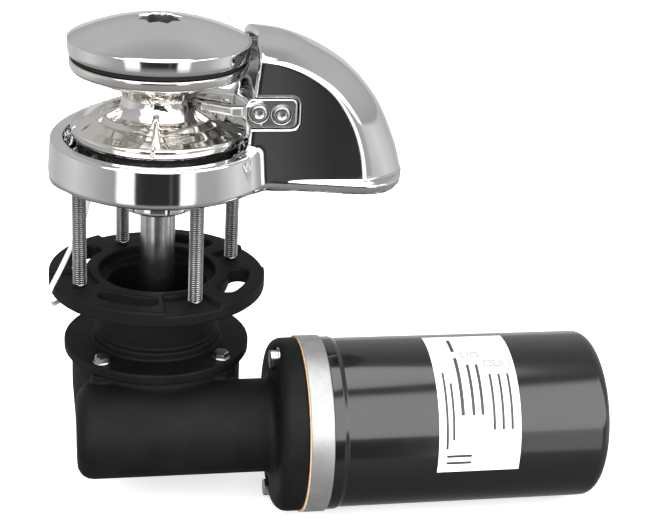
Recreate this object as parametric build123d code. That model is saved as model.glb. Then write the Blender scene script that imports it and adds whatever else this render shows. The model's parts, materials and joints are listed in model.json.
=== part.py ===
from build123d import *
import os
from math import atan2, cos, degrees, hypot, pi, radians, sin, sqrt, tan

# Vertical anchor windlass. Millimetres. The origin is on the shaft axis in the deck plane, which is
# the underside of the base casting. +Z is up, and +X points along the motor.

# ---- shaft and capstan end -----------------------------------------------------------------
SHAFT_R = 10.0
RUN_GAP = 0.05            # radial clearance of a running fit
PART_GAP = 0.3            # gap between surfaces of different moving bodies
SHAFT_BOTTOM_Z = -164.0
SHAFT_SHOULDER_Z = 69.4
SHAFT_TOP_Z = 77.4
THREAD_R = 8.0            # M16 x 1.5 nose that the clutch cap screws on to

CAP_R = 50.0
CAP_BOTTOM_Z = 69.7
CAP_TOP_Z = 88.5
SOCKET_FLAT = 17.8        # side of each of the two squares of the star socket
SOCKET_FLOOR_Z = 80.4
SOCKET_TURN = 14.0        # azimuth of one of the star's points

GYPSY_TOP_Z = 66.9
GYPSY_BOTTOM_Z = 23.6
GYPSY_R = 49.3
GYPSY_WAIST_R = 20.6
GYPSY_MID_Z = 45.1
POCKETS = 5
RIB_AZIMUTH = 261.8
# Chain: 8 mm short-link, links 40 long and 27 wide, pitch 24
LINK_SEAT_WIDTH = 30.0
LINK_SEAT_HEIGHT = 23.6
LINK_SEAT_R = 26.6        # distance of a seat's flat from the shaft axis
BUSH_R = 13.0
MAGNET_R = 0.9            # chain counter magnet in the lower rim
MAGNET_RADIUS = 47.3

# ---- base casting --------------------------------------------------------------------------
RING_R = 61.0
RING_TOP_R = 58.5
RING_TOP_Z = 22.3
RING_BORE_R = 52.5
FLOOR_Z = 6.0
HUB_R = 26.0
HUB_TOP_Z = 13.4
BOSS_R = 21.0
BOSS_BOTTOM_Z = -19.0
HOOD_HALF_W = 34.5
HOOD_WALL = 5.5
HOOD_CLEAR_R = 53.2       # the hood's open end stays this far from the shaft axis

STUD_R = 4.0              # M8
STUD_PCD = 95.94
STUD_AZIMUTH = 21.5
STUD_TIP_Z = -59.6
STUD_TOP_Z = 11.5
STUD_ROOT_R = 3.9         # where the stud is screwed into the casting
STUD_SINK_R = 4.4         # countersink of the stud's hole in the deck face

# ---- under-deck flange ---------------------------------------------------------------------
FLANGE_R = 61.9
FLANGE_TOP_Z = -58.2
PAD_TOP_Z = -60.4
FLANGE_BOTTOM_Z = -67.3
NECK_R = 33.9
LOWER_FLANGE_R = 53.6
LOWER_FLANGE_TOP_Z = -100.6
LOWER_FLANGE_BOTTOM_Z = -106.7
FLANGE_SCREW_AZIMUTH = 46.0
FLANGE_SCREW_RADIUS = 47.5

# ---- worm gearbox and motor ----------------------------------------------------------------
MODULE = 1.8
WHEEL_TEETH = 40
WORM_PITCH_R = 10.0
WHEEL_PITCH_R = MODULE * WHEEL_TEETH / 2
AXIS_Y = -(WHEEL_PITCH_R + WORM_PITCH_R)
AXIS_Z = -138.3
WHEEL_WIDTH = 18.0
ADDENDUM = 1.6
DEDENDUM = 2.2
TOOTH_SHARE = 0.42        # tooth thickness as a share of the circular pitch
PRESSURE = radians(20)

HOUSING_R = 49.2
HOUSING_BOTTOM_Z = -172.0
TUBE_R = 26.9
TUBE_END_X = -48.0
MOTOR_FLANGE_X = 64.0
MOTOR_FLANGE_R = 50.0
GASKET_X = 77.4
BELL_X = 78.0
BELL_END_X = 91.2
BELL_R = 51.0
CAN_R = 49.0
CAN_WALL = 2.5
CAN_END_X = 252.8
MOTOR_SHAFT_R = 5.0
COUPLING_R = 9.0

CABLE_R = 1.4

PARTS = {}


def keep(name, shape):
    """Give a shape its node name."""
    PARTS[name] = shape


def polar(radius, azimuth, z=0.0):
    a = radians(azimuth)
    return Vector(radius * cos(a), radius * sin(a), z)


def turned(corners):
    """Solid of revolution about Z from (radius, height) corners."""
    outline = Polyline(*[(r, 0, z) for r, z in corners], close=True)
    return revolve(make_face(outline), axis=Axis.Z)


def rod(radius, z_low, z_high, at=(0, 0)):
    """Upright cylinder between two heights."""
    disc = Cylinder(radius, z_high - z_low, align=(Align.CENTER, Align.CENTER, Align.MIN))
    return Pos(at[0], at[1], z_low) * disc


def ring(inner, outer, z_low, z_high):
    """Upright tube between two heights."""
    return rod(outer, z_low, z_high) - rod(inner, z_low - 1, z_high + 1)


def block(x0, x1, y0, y1, z0, z1):
    """Box between opposite corners."""
    box = Box(x1 - x0, y1 - y0, z1 - z0, align=(Align.MIN, Align.MIN, Align.MIN))
    return Pos(x0, y0, z0) * box


def on_motor(shape):
    """Move a shape made round Z so that its heights become X positions on the motor's axis."""
    return Pos(0, AXIS_Y, AXIS_Z) * Rot(0, 90, 0) * shape


def around(shape, count, start=0.0):
    """Copies of a shape turned evenly about Z."""
    return [Rot(0, 0, start + k * 360 / count) * shape for k in range(count)]


def group(solids):
    """Separate solids as one node."""
    return Compound(children=[s for shape in solids for s in shape.solids()])


def sector(inner, outer, z_low, z_high, from_deg, to_deg):
    """Part of an upright tube between two azimuths."""
    outline = Polyline(
        (inner, 0, z_low), (outer, 0, z_low), (outer, 0, z_high), (inner, 0, z_high), close=True,
    )
    return Rot(0, 0, from_deg) * revolve(make_face(outline), axis=Axis.Z, revolution_arc=to_deg - from_deg)


def ball_bearing(bore, outer, z_low, width, ball, count):
    """Outer ring, balls and inner ring of a ball bearing round Z."""
    mid_r = (bore + outer) / 2
    mid_z = z_low + width / 2
    land = 0.6 * ball
    groove = Pos(0, 0, mid_z) * Torus(mid_r, ball + PART_GAP)
    outer_ring = ring(mid_r + land, outer, z_low, z_low + width) - groove
    inner_ring = ring(bore, mid_r - land, z_low, z_low + width) - groove
    balls = [Pos(*polar(mid_r, k * 360 / count, mid_z)) * Sphere(ball) for k in range(count)]
    return outer_ring, balls, inner_ring


# ---- capstan end ---------------------------------------------------------------------------
def make_clutch_cap():
    """Domed cap that screws down on the shaft nose and squeezes the clutch."""
    corners = [
        (0, CAP_BOTTOM_Z), (49.2, CAP_BOTTOM_Z), (CAP_R, CAP_BOTTOM_Z + 0.8), (CAP_R, 77.6),
        (49.3, 78.2),
    ]
    corners += [(44.0, 80.4), (34.0, 84.0), (24.0, 86.6), (17.0, 88.1), (15.4, CAP_TOP_Z), (0, CAP_TOP_Z)]
    cap = turned(corners) - rod(THREAD_R + 0.08, CAP_BOTTOM_Z - 1, SHAFT_TOP_Z + 1.4)
    socket = extrude(Rectangle(SOCKET_FLAT, SOCKET_FLAT), CAP_TOP_Z)
    star = Pos(0, 0, SOCKET_FLOOR_Z) * Rot(0, 0, SOCKET_TURN) * (socket + Rot(0, 0, 45) * socket)
    return cap - star


def make_upper_clutch():
    """Steel cone under the cap, and the black friction lining between it and the gypsy."""
    cone = turned([
        (SHAFT_R + RUN_GAP, 56.2), (18, 56.2), (18, 61.4), (41.4, 61.4), (44.2, 67.4), (44.2, 69.4),
        (SHAFT_R + RUN_GAP, 69.4),
    ])
    keyway = block(8, 13.6, -3 - PART_GAP, 3 + PART_GAP, 50, 75)
    lining = turned([
        (41.4, 61.4), (43.2, 61.4), (46.0, 67.2), (48.5, 67.2), (48.5, 69.4), (44.2, 69.4), (44.2, 67.4),
    ])
    return cone - keyway, lining


def link_pocket():
    """Cutter for one chain pocket: the flat seat that a link lies in."""
    seat = RectangleRounded(LINK_SEAT_HEIGHT, LINK_SEAT_WIDTH, 0.45 * LINK_SEAT_HEIGHT)
    return Pos(LINK_SEAT_R, 0, GYPSY_MID_Z) * Rot(0, 90, 0) * extrude(seat, 30)


def make_gypsy():
    """Chain wheel: two cheeks, a narrow waist, chain pockets and a female cone at each end."""
    outer = [(46.6, GYPSY_TOP_Z), (48.8, GYPSY_TOP_Z), (GYPSY_R, 66.2), (GYPSY_R, 62.2), (48.6, 61.4)]
    outer += [(27.0, 51.4), (22.4, 49.2), (GYPSY_WAIST_R, 47.0), (GYPSY_WAIST_R, 43.4), (21.6, 41.2)]
    outer += [(30.0, 37.0), (40.0, 32.6), (48.0, 29.4), (49.0, 28.6), (49.0, 24.2), (48.4, GYPSY_BOTTOM_Z)]
    lower_cone = [(46.2, GYPSY_BOTTOM_Z), (43.6, 28.2), (33.0, 28.6), (30.0, 31.6), (BUSH_R, 31.9)]
    upper_cone = [(BUSH_R, 54.2), (19.2, 54.2), (19.2, 58.4), (29.0, 59.0), (33.5, 60.3), (43.4, 60.3)]
    wheel = turned(outer + lower_cone + upper_cone)
    for k in range(POCKETS):
        wheel -= Rot(0, 0, RIB_AZIMUTH + (k + 0.5) * 360 / POCKETS) * link_pocket()
    magnet_hole = rod(MAGNET_R, GYPSY_BOTTOM_Z - 1, GYPSY_BOTTOM_Z + 2.4, at=(-MAGNET_RADIUS, 0))
    return wheel - magnet_hole


def make_lower_clutch():
    """Steel cone that is keyed to the shaft under the gypsy, and its friction lining."""
    cone = turned([
        (SHAFT_R, 15.0), (17, 15.0), (17, 17.2), (45.6, 17.2), (45.6, 20.9), (41.6, 20.9), (39.6, 27.2),
        (32, 27.9), (28.8, 30.9), (SHAFT_R, 30.9),
    ])
    keyway = block(8, 13.2, -3, 3, 10, 40)
    lining = turned([(41.6, 20.9), (45.6, 20.9), (45.6, 23.9), (43.4, 28.1), (41.4, 28.1), (39.6, 27.2)])
    return cone - keyway, lining


def make_shaft():
    """Stainless main shaft with its threaded nose, key seats and circlip grooves."""
    shaft = rod(SHAFT_R, SHAFT_BOTTOM_Z, SHAFT_SHOULDER_Z) + rod(THREAD_R, SHAFT_SHOULDER_Z, SHAFT_TOP_Z)
    shaft = chamfer(shaft.edges().filter_by(GeomType.CIRCLE).sort_by(Axis.Z)[-1], 1.0)
    for z in (13.7, -150.7):
        shaft -= ring(9.2, 12, z, z + 1.2)
    return shaft - block(6.5, 11, -3, 3, 16, 67) - block(6.5, 11, -3, 3, -148, -113)


def make_shaft_keys():
    """Parallel keys of the two clutch cones and of the worm wheel."""
    lower = block(6.5, 12.8, -3, 3, 16, 30)
    upper = block(6.5, 12.8, -3, 3, 57, 67)
    wheel = block(6.5, 12.8, -3, 3, -148, -113)
    return group([lower, upper, wheel])


# ---- base casting --------------------------------------------------------------------------
# Side view of the hood: its flat face at each side (FACE) and its ridge line in the middle (RIDGE).
# Both run from the open end over the top to the toe, and have matching points.
FACE = [
    (38.0, 75.6), (52.0, 75.0), (66.0, 72.2), (81.0, 65.4), (94.0, 55.2), (104.4, 39.5), (110.2, 24.0),
    (112.8, 9.0), (113.0, 0.0),
]
RIDGE = [
    (38.0, 81.5), (54.0, 81.5), (71.0, 79.6), (89.0, 73.0), (106.0, 62.5), (121.0, 46.0), (131.6, 24.5),
    (136.6, 9.0), (138.0, 0.0),
]


def hood_section(share, y, inset=0.0, low_z=0.0):
    """Closed outline of the hood at one Y, blended from FACE (share 0) to RIDGE (share 1)."""
    points = []
    for (fx, fz), (rx, rz) in zip(FACE, RIDGE):
        x = fx + (rx - fx) * share
        z = fz + (rz - fz) * share
        reach = hypot(x - 38.0, z)
        points.append(((x - inset * (x - 38.0) / reach), y, max(low_z, z - inset * z / reach)))
    points[-1] = (points[-1][0], y, low_z)
    top = Spline(*points)
    left = Polyline(points[-1], (points[0][0], y, low_z), points[0])
    return make_face(top + left)


def hood_body(half_width, inset=0.0, low_z=0.0):
    """Hood-shaped solid: flat sides and a crowned back that bulges to the ridge."""
    sections = []
    for step in (-1.0, -0.9, -0.75, -0.5, 0.0, 0.5, 0.75, 0.9, 1.0):
        sections.append(hood_section(1 - abs(step) ** 3.6, step * half_width, inset, low_z))
    return loft(sections)


SENSOR_XY = (-38.5, -2.0)
POCKET_FLOOR_Y = -HOOD_HALF_W + 3.4
STRIPPER_MIDDLE = (58.0, 45.4)                      # X and Z of the pocket and plate
STRIPPER_SCREWS = [(50.8, 45.6), (63.2, 44.8)]      # X and Z


def stripper_plate(length, height, corner, thick):
    """Rounded plate on the floor of the hood's pocket."""
    face = RectangleRounded(length, height, corner)
    return Pos(
        STRIPPER_MIDDLE[0], POCKET_FLOOR_Y, STRIPPER_MIDDLE[1],
    ) * Rot(90, 0, 0) * extrude(face, thick)


# Outline of the hood's flared foot on the deck, from the ring to the toe.
FOOT = [(50.0, -33.0), (62.0, -34.6), (74.0, -35.4), (86.0, -37.4), (99.0, -40.2), (110.0, -41.8), (117.0, -41.2)]
FOOT += [(123.0, -38.6), (129.0, -32.6), (134.0, -24.0), (137.2, -12.0), (138.0, 0.0)]
FOOT_HEIGHT = 6.4


def hood_foot():
    """Low plinth under the hood that widens towards the toe."""
    side = Spline(*FOOT[:-1], *[(x, -y) for x, y in reversed(FOOT)])
    outline = make_face(side + Line((50.0, 33.0), (50.0, -33.0)))
    foot = extrude(outline, FOOT_HEIGHT)
    top = foot.edges().group_by(Axis.Z)[-1].sort_by(SortBy.LENGTH)[-1]
    return chamfer(top, 2.4)


def rear_wall():
    """The ring's rear wall, which rises towards the hood."""
    wall = sector(RING_BORE_R, RING_TOP_R - 1.2, RING_TOP_Z - 2.0, 37.8, 2, 160)
    above = Polyline((-62, RING_TOP_Z - 0.9), (45, 37.8), (45, 60), (-62, 60), close=True)
    return wall - extrude(Plane.XZ * make_face(above), 70, both=True)


def make_base_casting():
    """Polished casting: ring round the gypsy, chain hood, deck studs' bosses and shaft hub."""
    corners = [
        (0, 0), (RING_R - 3.0, 0), (RING_R - 1.0, 0.6), (RING_R - 0.2, 1.8), (RING_R, 4.0),
        (RING_TOP_R + 0.4, 20.6), (RING_TOP_R - 0.8, RING_TOP_Z), (RING_BORE_R + 0.8, RING_TOP_Z),
        (RING_BORE_R, RING_TOP_Z - 0.8), (RING_BORE_R, FLOOR_Z),
    ]
    corners += [(HUB_R, FLOOR_Z), (HUB_R, HUB_TOP_Z), (0, HUB_TOP_Z)]
    base = turned(corners)
    shell = hood_body(HOOD_HALF_W) + hood_foot() - hood_body(HOOD_HALF_W - HOOD_WALL, HOOD_WALL, -1.0)
    clear = rod(HOOD_CLEAR_R, 22.0, 100) + rod(RING_BORE_R, 6.0, 30)
    slant = extrude(
        Plane.XZ * make_face(Polyline((0, 23), (45.4, 23), (46.2, 38), (50.8, 90), (0, 90), close=True)),
        60, both=True,
    )
    base = base + rear_wall() + (shell - clear - slant - rod(RING_BORE_R, -1, 30))
    for solid in around(rod(7.0, FLOOR_Z - 1, 12.0, at=(STUD_PCD / 2, 0)), 4, STUD_AZIMUTH):
        base += solid
    base += rod(BOSS_R, BOSS_BOTTOM_Z, 0.5)
    base -= rod(
        12.0, BOSS_BOTTOM_Z - 1, HUB_TOP_Z + 1,
    ) + rod(21.0, 1.0, HUB_TOP_Z + 1) + rod(17.0, BOSS_BOTTOM_Z - 1, -15.0)
    hole = rod(STUD_ROOT_R, -1, 12.5, at=(STUD_PCD / 2, 0)) + rod(STUD_SINK_R, -1, 0.5, at=(STUD_PCD / 2, 0))
    for solid in around(hole, 4, STUD_AZIMUTH):
        base -= solid
    base -= rod(4.0, -1, 30, at=SENSOR_XY)
    base -= stripper_plate(29, 17.6, 4.0, 12)
    for x, z in STRIPPER_SCREWS:
        base -= Pos(x, -HOOD_HALF_W + 12, z) * Rot(90, 0, 0) * rod(2.5, 0, 20)
    return base


def make_stripper():
    """Chain stripper: a plate screwed into the hood's pocket, with a finger that reaches the waist."""
    plate = stripper_plate(27.6, 16.2, 3.4, 3.2)
    outline = make_face(Polyline(
        (45.6, -34.3), (36.0, -31.6), (20.4, -21.4), (22.6, -17.4), (38.0, -26.6), (45.6, -31.1),
        close=True,
    ))
    finger = Pos(0, 0, 43.4) * extrude(outline, 5.2)
    arm = plate + finger
    face_y = POCKET_FLOOR_Y - 3.2
    for x, z in STRIPPER_SCREWS:
        arm -= Pos(x, face_y, z) * Rot(90, 0, 0) * (rod(2.5, -12, 1) + rod(5.3, -2.2, 1))
    return arm


def stripper_fasteners():
    """Two M5 socket screws with low heads, and their washers, sunk in the plate."""
    face_y = POCKET_FLOOR_Y - 3.2
    screws = []
    washers = []
    for x, z in STRIPPER_SCREWS:
        place = Pos(x, face_y, z) * Rot(90, 0, 0)
        washers.append(place * ring(2.5, 5.0, -2.2, -1.3))
        head = rod(4.4, -1.3, 1.2) - extrude(Pos(0, 0, -0.4) * RegularPolygon(2.3, 6), 3)
        screws.append(place * (head + rod(2.5, -6.5, -1.25)))
    return group(screws), group(washers)


def make_deck_studs():
    """Four M8 studs that hang down from the base casting."""
    at = (STUD_PCD / 2, 0)
    free = rod(STUD_R, STUD_TIP_Z, 0.0, at=at)
    tip = free.edges().filter_by(GeomType.CIRCLE).sort_by(Axis.Z)[0]
    stud = chamfer(tip, 0.8) + rod(STUD_ROOT_R, -0.5, STUD_TOP_Z, at=at)
    return group(around(stud, 4, STUD_AZIMUTH))


# ---- under-deck flange ---------------------------------------------------------------------
def kidney_slot(azimuth_from, azimuth_to, inner, outer):
    """Curved slot with round ends, right through the upper flange."""
    mid = (inner + outer) / 2
    half = (outer - inner) / 2
    inset = degrees(half / mid)
    slot = sector(
        inner, outer, FLANGE_BOTTOM_Z - 1, FLANGE_TOP_Z + 1, azimuth_from + inset, azimuth_to - inset,
    )
    for a in (azimuth_from + inset, azimuth_to - inset):
        end = polar(mid, a)
        slot += rod(half, FLANGE_BOTTOM_Z - 1, FLANGE_TOP_Z + 1, at=(end.X, end.Y))
    return slot


def make_deck_flange():
    """Black casting that clamps the deck from below and carries the gearbox."""
    corners = [(33.4, FLANGE_TOP_Z), (FLANGE_R - 0.8, FLANGE_TOP_Z), (FLANGE_R, FLANGE_TOP_Z - 0.8)]
    corners += [
        (FLANGE_R, FLANGE_BOTTOM_Z + 0.6), (FLANGE_R - 0.6, FLANGE_BOTTOM_Z),
        (NECK_R + 2, FLANGE_BOTTOM_Z), (NECK_R, FLANGE_BOTTOM_Z - 2),
    ]
    corners += [
        (NECK_R, -94.6), (36.6, -95.4), (36.6, LOWER_FLANGE_TOP_Z),
        (LOWER_FLANGE_R - 0.6, LOWER_FLANGE_TOP_Z), (LOWER_FLANGE_R, LOWER_FLANGE_TOP_Z - 0.6),
    ]
    corners += [
        (LOWER_FLANGE_R, LOWER_FLANGE_BOTTOM_Z), (21.0, LOWER_FLANGE_BOTTOM_Z), (21.0, -93.5),
        (16.0, -93.5), (16.0, -88.0), (27.5, -88.0), (28.5, -66.0), (33.4, -64.0),
    ]
    flange = turned(corners)
    for k in range(4):
        flange -= sector(38.6, FLANGE_R + 1, PAD_TOP_Z, FLANGE_TOP_Z + 1, 90 * k, 90 * k + 30.5)
        flange -= kidney_slot(90 * k + 44, 90 * k + 86.5, 41.2, 53.0)
    hole = rod(2.5, LOWER_FLANGE_BOTTOM_Z - 1, LOWER_FLANGE_TOP_Z + 1, at=(FLANGE_SCREW_RADIUS, 0))
    for solid in around(hole, 4, FLANGE_SCREW_AZIMUTH):
        flange -= solid
    return flange


def make_flange_screws():
    """Four M5 hexagon screws through the lower flange into the gearbox."""
    head = extrude(Pos(FLANGE_SCREW_RADIUS, 0, LOWER_FLANGE_TOP_Z + 0.6) * RegularPolygon(4.6, 6), 3.4)
    collar = rod(5.2, LOWER_FLANGE_TOP_Z, LOWER_FLANGE_TOP_Z + 0.6, at=(FLANGE_SCREW_RADIUS, 0))
    shank = rod(2.5, -119.0, LOWER_FLANGE_TOP_Z, at=(FLANGE_SCREW_RADIUS, 0))
    return group(around(head + collar + shank, 4, FLANGE_SCREW_AZIMUTH))


# ---- gearbox -------------------------------------------------------------------------------
def make_gear_housing():
    """Black gearbox casting: wheel housing, worm tube, screw lugs and motor flange."""
    top = LOWER_FLANGE_BOTTOM_Z - 0.4
    wheel = turned([
        (0, HOUSING_BOTTOM_Z), (38, HOUSING_BOTTOM_Z), (43.5, -170.4), (46.8, -166.0), (HOUSING_R, -130),
        (HOUSING_R, top), (0, top),
    ])
    lug = rod(6.6, -121.5, top, at=(FLANGE_SCREW_RADIUS - 0.5, 0)) - ring(LOWER_FLANGE_R, 70, -130, -100)
    for solid in around(lug, 4, FLANGE_SCREW_AZIMUTH):
        wheel += solid
    tube = turned([
        (0, TUBE_END_X), (17.5, TUBE_END_X), (22.8, TUBE_END_X + 1.8), (25.8, TUBE_END_X + 5),
        (TUBE_R, TUBE_END_X + 9), (TUBE_R, 60), (30, MOTOR_FLANGE_X), (42, MOTOR_FLANGE_X),
        (47, MOTOR_FLANGE_X + 1.4), (49.4, MOTOR_FLANGE_X + 4.4), (MOTOR_FLANGE_R, MOTOR_FLANGE_X + 7),
        (MOTOR_FLANGE_R, GASKET_X), (0, GASKET_X),
    ])
    housing = wheel + on_motor(tube)
    housing -= rod(41.0, -150.0, top + 1) + rod(21.0, SHAFT_BOTTOM_Z - 0.3, -149)
    housing -= on_motor(rod(13.0, -43.0, GASKET_X + 1))
    for solid in around(rod(2.5, -119.5, top + 1, at=(FLANGE_SCREW_RADIUS, 0)), 4, FLANGE_SCREW_AZIMUTH):
        housing -= solid
    for bolt in motor_bolt_holes():
        housing -= bolt
    return housing


MOTOR_BOLT_R = 3.0
MOTOR_BOLT_RADIUS = 43.0
MOTOR_BOLT_SEAT_X = 65.6
MOTOR_BOLT_ANGLES = (88.0, 268.0)    # from straight ahead (-Y) up towards +Z


def motor_bolt_place(angle):
    """Put a shape made round Z at one motor bolt's axis, heights becoming X."""
    a = radians(angle)
    return Pos(0, AXIS_Y - MOTOR_BOLT_RADIUS * cos(a), AXIS_Z + MOTOR_BOLT_RADIUS * sin(a)) * Rot(0, 90, 0)


def motor_bolt_holes():
    """Bolt holes with a spot face on the gearbox flange."""
    hole = rod(MOTOR_BOLT_R, 60, BELL_X + 12.0) + rod(7.0, 55, MOTOR_BOLT_SEAT_X)
    return [motor_bolt_place(a) * hole for a in MOTOR_BOLT_ANGLES]


def make_motor_bolts():
    """Two M6 hexagon bolts that hold the motor to the gearbox flange."""
    bolts = []
    for a in MOTOR_BOLT_ANGLES:
        head = extrude(Pos(0, 0, MOTOR_BOLT_SEAT_X - 5.6) * RegularPolygon(5.6, 6), 4.4)
        collar = rod(6.4, MOTOR_BOLT_SEAT_X - 1.2, MOTOR_BOLT_SEAT_X)
        shank = rod(MOTOR_BOLT_R, MOTOR_BOLT_SEAT_X, BELL_X + 12.0)
        bolts.append(motor_bolt_place(a) * (head + collar + shank))
    return bolts


def tooth_angles(pitch_r, radius):
    """Half the angle that a wheel tooth fills at a radius."""
    pitch = pi * MODULE
    half = TOOTH_SHARE * pitch / 2 - (radius - pitch_r) * tan(PRESSURE)
    return degrees(half / radius)


def make_worm_wheel():
    """Bronze helical wheel rim that meshes with the worm, and its steel hub."""
    tip = WHEEL_PITCH_R + ADDENDUM
    root = WHEEL_PITCH_R - DEDENDUM
    points = []
    for k in range(WHEEL_TEETH):
        centre = -90 + (k + 0.5) * 360 / WHEEL_TEETH
        for radius, side in ((root, -1), (tip, -1), (tip, 1), (root, 1)):
            p = polar(radius, centre + side * tooth_angles(WHEEL_PITCH_R, radius))
            points.append((p.X, p.Y))
    section = make_face(Polyline(*points, close=True))
    lead = tan(atan2(pi * MODULE, 2 * pi * WORM_PITCH_R))
    twist = degrees(WHEEL_WIDTH * lead / WHEEL_PITCH_R)
    rim = Solid.extrude_linear_with_rotation(section.face(), (0, 0, 0), (0, 0, WHEEL_WIDTH), twist)
    rim = Pos(0, 0, AXIS_Z - WHEEL_WIDTH / 2) * Rot(0, 0, -twist / 2) * rim
    rim -= rod(28.0, AXIS_Z - 20, AXIS_Z + 20)
    low = AXIS_Z - WHEEL_WIDTH / 2
    hub = turned([
        (SHAFT_R, -149.3), (16, -149.3), (16, low + 3), (24, low + 3), (24, low), (28, low),
        (28, low + WHEEL_WIDTH), (24, low + WHEEL_WIDTH), (24, low + WHEEL_WIDTH - 3),
        (16, low + WHEEL_WIDTH - 3), (16, -112), (SHAFT_R, -112),
    ])
    return rim, hub - block(8, 12.8, -3, 3, -150, -110)


def make_worm_shaft():
    """Single-start right-hand worm cut on its shaft."""
    pitch = pi * MODULE
    turns = 6.5
    start = -3.25 * pitch
    core_r = WORM_PITCH_R - DEDENDUM
    tip_r = WORM_PITCH_R + ADDENDUM
    root_half = TOOTH_SHARE * pitch / 2 + (DEDENDUM + 0.4) * tan(PRESSURE)
    tip_half = TOOTH_SHARE * pitch / 2 - ADDENDUM * tan(PRESSURE)
    low_r = core_r - 0.4
    outline = Polyline(
        (low_r, 0, start - root_half), (tip_r, 0, start - tip_half), (tip_r, 0, start + tip_half),
        (low_r, 0, start + root_half), close=True,
    )
    path = Pos(0, 0, start) * Helix(pitch, turns * pitch, low_r)
    thread = sweep(make_face(outline), path=path, is_frenet=True)
    shaft = rod(core_r, -32.6, 34.6) + thread
    shaft += rod(MOTOR_SHAFT_R, -42.0, -32) + rod(MOTOR_SHAFT_R, 34, 71.0)
    return on_motor(shaft)


# ---- motor ---------------------------------------------------------------------------------
BRUSH_AZIMUTHS = (45, 135, 225, 315)
MAGNET_X = (106.0, 200.0)
CORE_X = (109.0, 196.0)
COMMUTATOR_X = (212.0, 232.0)
TERMINAL_SPOTS = ((18.0, -16.0), (18.0, 16.0))    # across, up: on the far side of the motor's end
TERMINAL_R = 3.0
TERMINAL_ROOT_R = 2.6          # under the nut and through the insulator
TERMINAL_FREE_X = 260.0
LABEL_X = (152.0, 211.5)
LABEL_ANGLES = (-9.0, 100.0)


def make_end_bell():
    """Cast ring that closes the motor's front and carries its front bearing."""
    bell = turned([
        (9.6, BELL_X), (BELL_R - 0.5, BELL_X), (BELL_R, BELL_X + 0.6), (BELL_R, BELL_END_X - 0.6),
        (BELL_R - 0.5, BELL_END_X), (36.0, BELL_END_X), (36.0, 84.5), (17.0, 84.5), (17.0, 93.4),
        (13.0, 93.4), (13.0, 85.4), (9.6, 85.4),
    ])
    bell = on_motor(bell)
    for hole in motor_bolt_holes():
        bell -= hole
    return bell


def make_motor_can():
    """Deep-drawn motor can with a rolled front lip, a rounded closed end and a bearing seat."""
    inner = CAN_R - CAN_WALL
    corners = [
        (inner, BELL_END_X), (50.0, BELL_END_X), (50.0, 97.4), (CAN_R, 98.6), (CAN_R, CAN_END_X - 7),
        (48.2, CAN_END_X - 3.4), (46.2, CAN_END_X - 1.1), (43.0, CAN_END_X), (0, CAN_END_X),
    ]
    corners += [
        (0, CAN_END_X - 2.6), (13.0, CAN_END_X - 2.6), (13.0, 241.9), (17.0, 241.9),
        (17.0, CAN_END_X - 2.6), (43.5, CAN_END_X - 2.6), (inner, CAN_END_X - 6),
    ]
    can = on_motor(turned(corners))
    for across, up in TERMINAL_SPOTS:
        can -= terminal_place(across, up) * rod(5.0, 240, 260)
    return can


def terminal_place(across, up):
    return Pos(0, AXIS_Y + across, AXIS_Z + up) * Rot(0, 90, 0)


def make_terminals():
    """Two M6 power studs, each with an insulator through the can's end and a brass nut."""
    studs = []
    insulators = []
    nuts = []
    for across, up in TERMINAL_SPOTS:
        place = terminal_place(across, up)
        studs.append(place * (rod(TERMINAL_ROOT_R, 238.0, 262.0) + rod(TERMINAL_R, TERMINAL_FREE_X, 266.0)))
        bush = ring(TERMINAL_ROOT_R, 5.0, CAN_END_X - 2.6, CAN_END_X + 0.01)
        bush += ring(TERMINAL_ROOT_R, 8.0, CAN_END_X, CAN_END_X + 2.6)
        insulators.append(place * bush)
        flats = RegularPolygon(5.6, 6) - Circle(TERMINAL_ROOT_R)
        nuts.append(place * extrude(Pos(0, 0, CAN_END_X + 2.6) * flats, TERMINAL_FREE_X - CAN_END_X - 2.6))
    return studs, insulators, nuts


def make_magnets():
    """Four curved ferrite magnets inside the can."""
    arc = sector(38.2, CAN_R - CAN_WALL, MAGNET_X[0], MAGNET_X[1], -33, 33)
    return [on_motor(s) for s in around(arc, 4)]


def make_armature():
    """Laminated core with winding slots, copper end turns, commutator and shaft."""
    core = ring(MOTOR_SHAFT_R, 37.2, CORE_X[0], CORE_X[1])
    slot = block(
        22.0, 35.0, -2.6, 2.6, CORE_X[0] - 1, CORE_X[1] + 1,
    ) + block(34.0, 39.0, -1.1, 1.1, CORE_X[0] - 1, CORE_X[1] + 1)
    for cutter in around(slot, 12):
        core -= cutter
    coil = block(22.2, 34.8, -2.4, 2.4, CORE_X[0] - 0.5, CORE_X[1] + 0.5)
    front = ring(12.0, 34.6, CORE_X[0] - 9, CORE_X[0])
    back = ring(12.0, 34.6, CORE_X[1], CORE_X[1] + 9)
    windings = front + back
    for bar in around(coil, 12):
        windings += bar
    bars = ring(MOTOR_SHAFT_R, 14.0, COMMUTATOR_X[0], COMMUTATOR_X[1])
    for cut in around(block(12.6, 16, -0.3, 0.3, COMMUTATOR_X[0] - 1, COMMUTATOR_X[1] + 1), 24):
        bars -= cut
    shaft = rod(MOTOR_SHAFT_R, 71.4, 249.6)
    return on_motor(core), on_motor(windings), on_motor(bars), on_motor(shaft)


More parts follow.
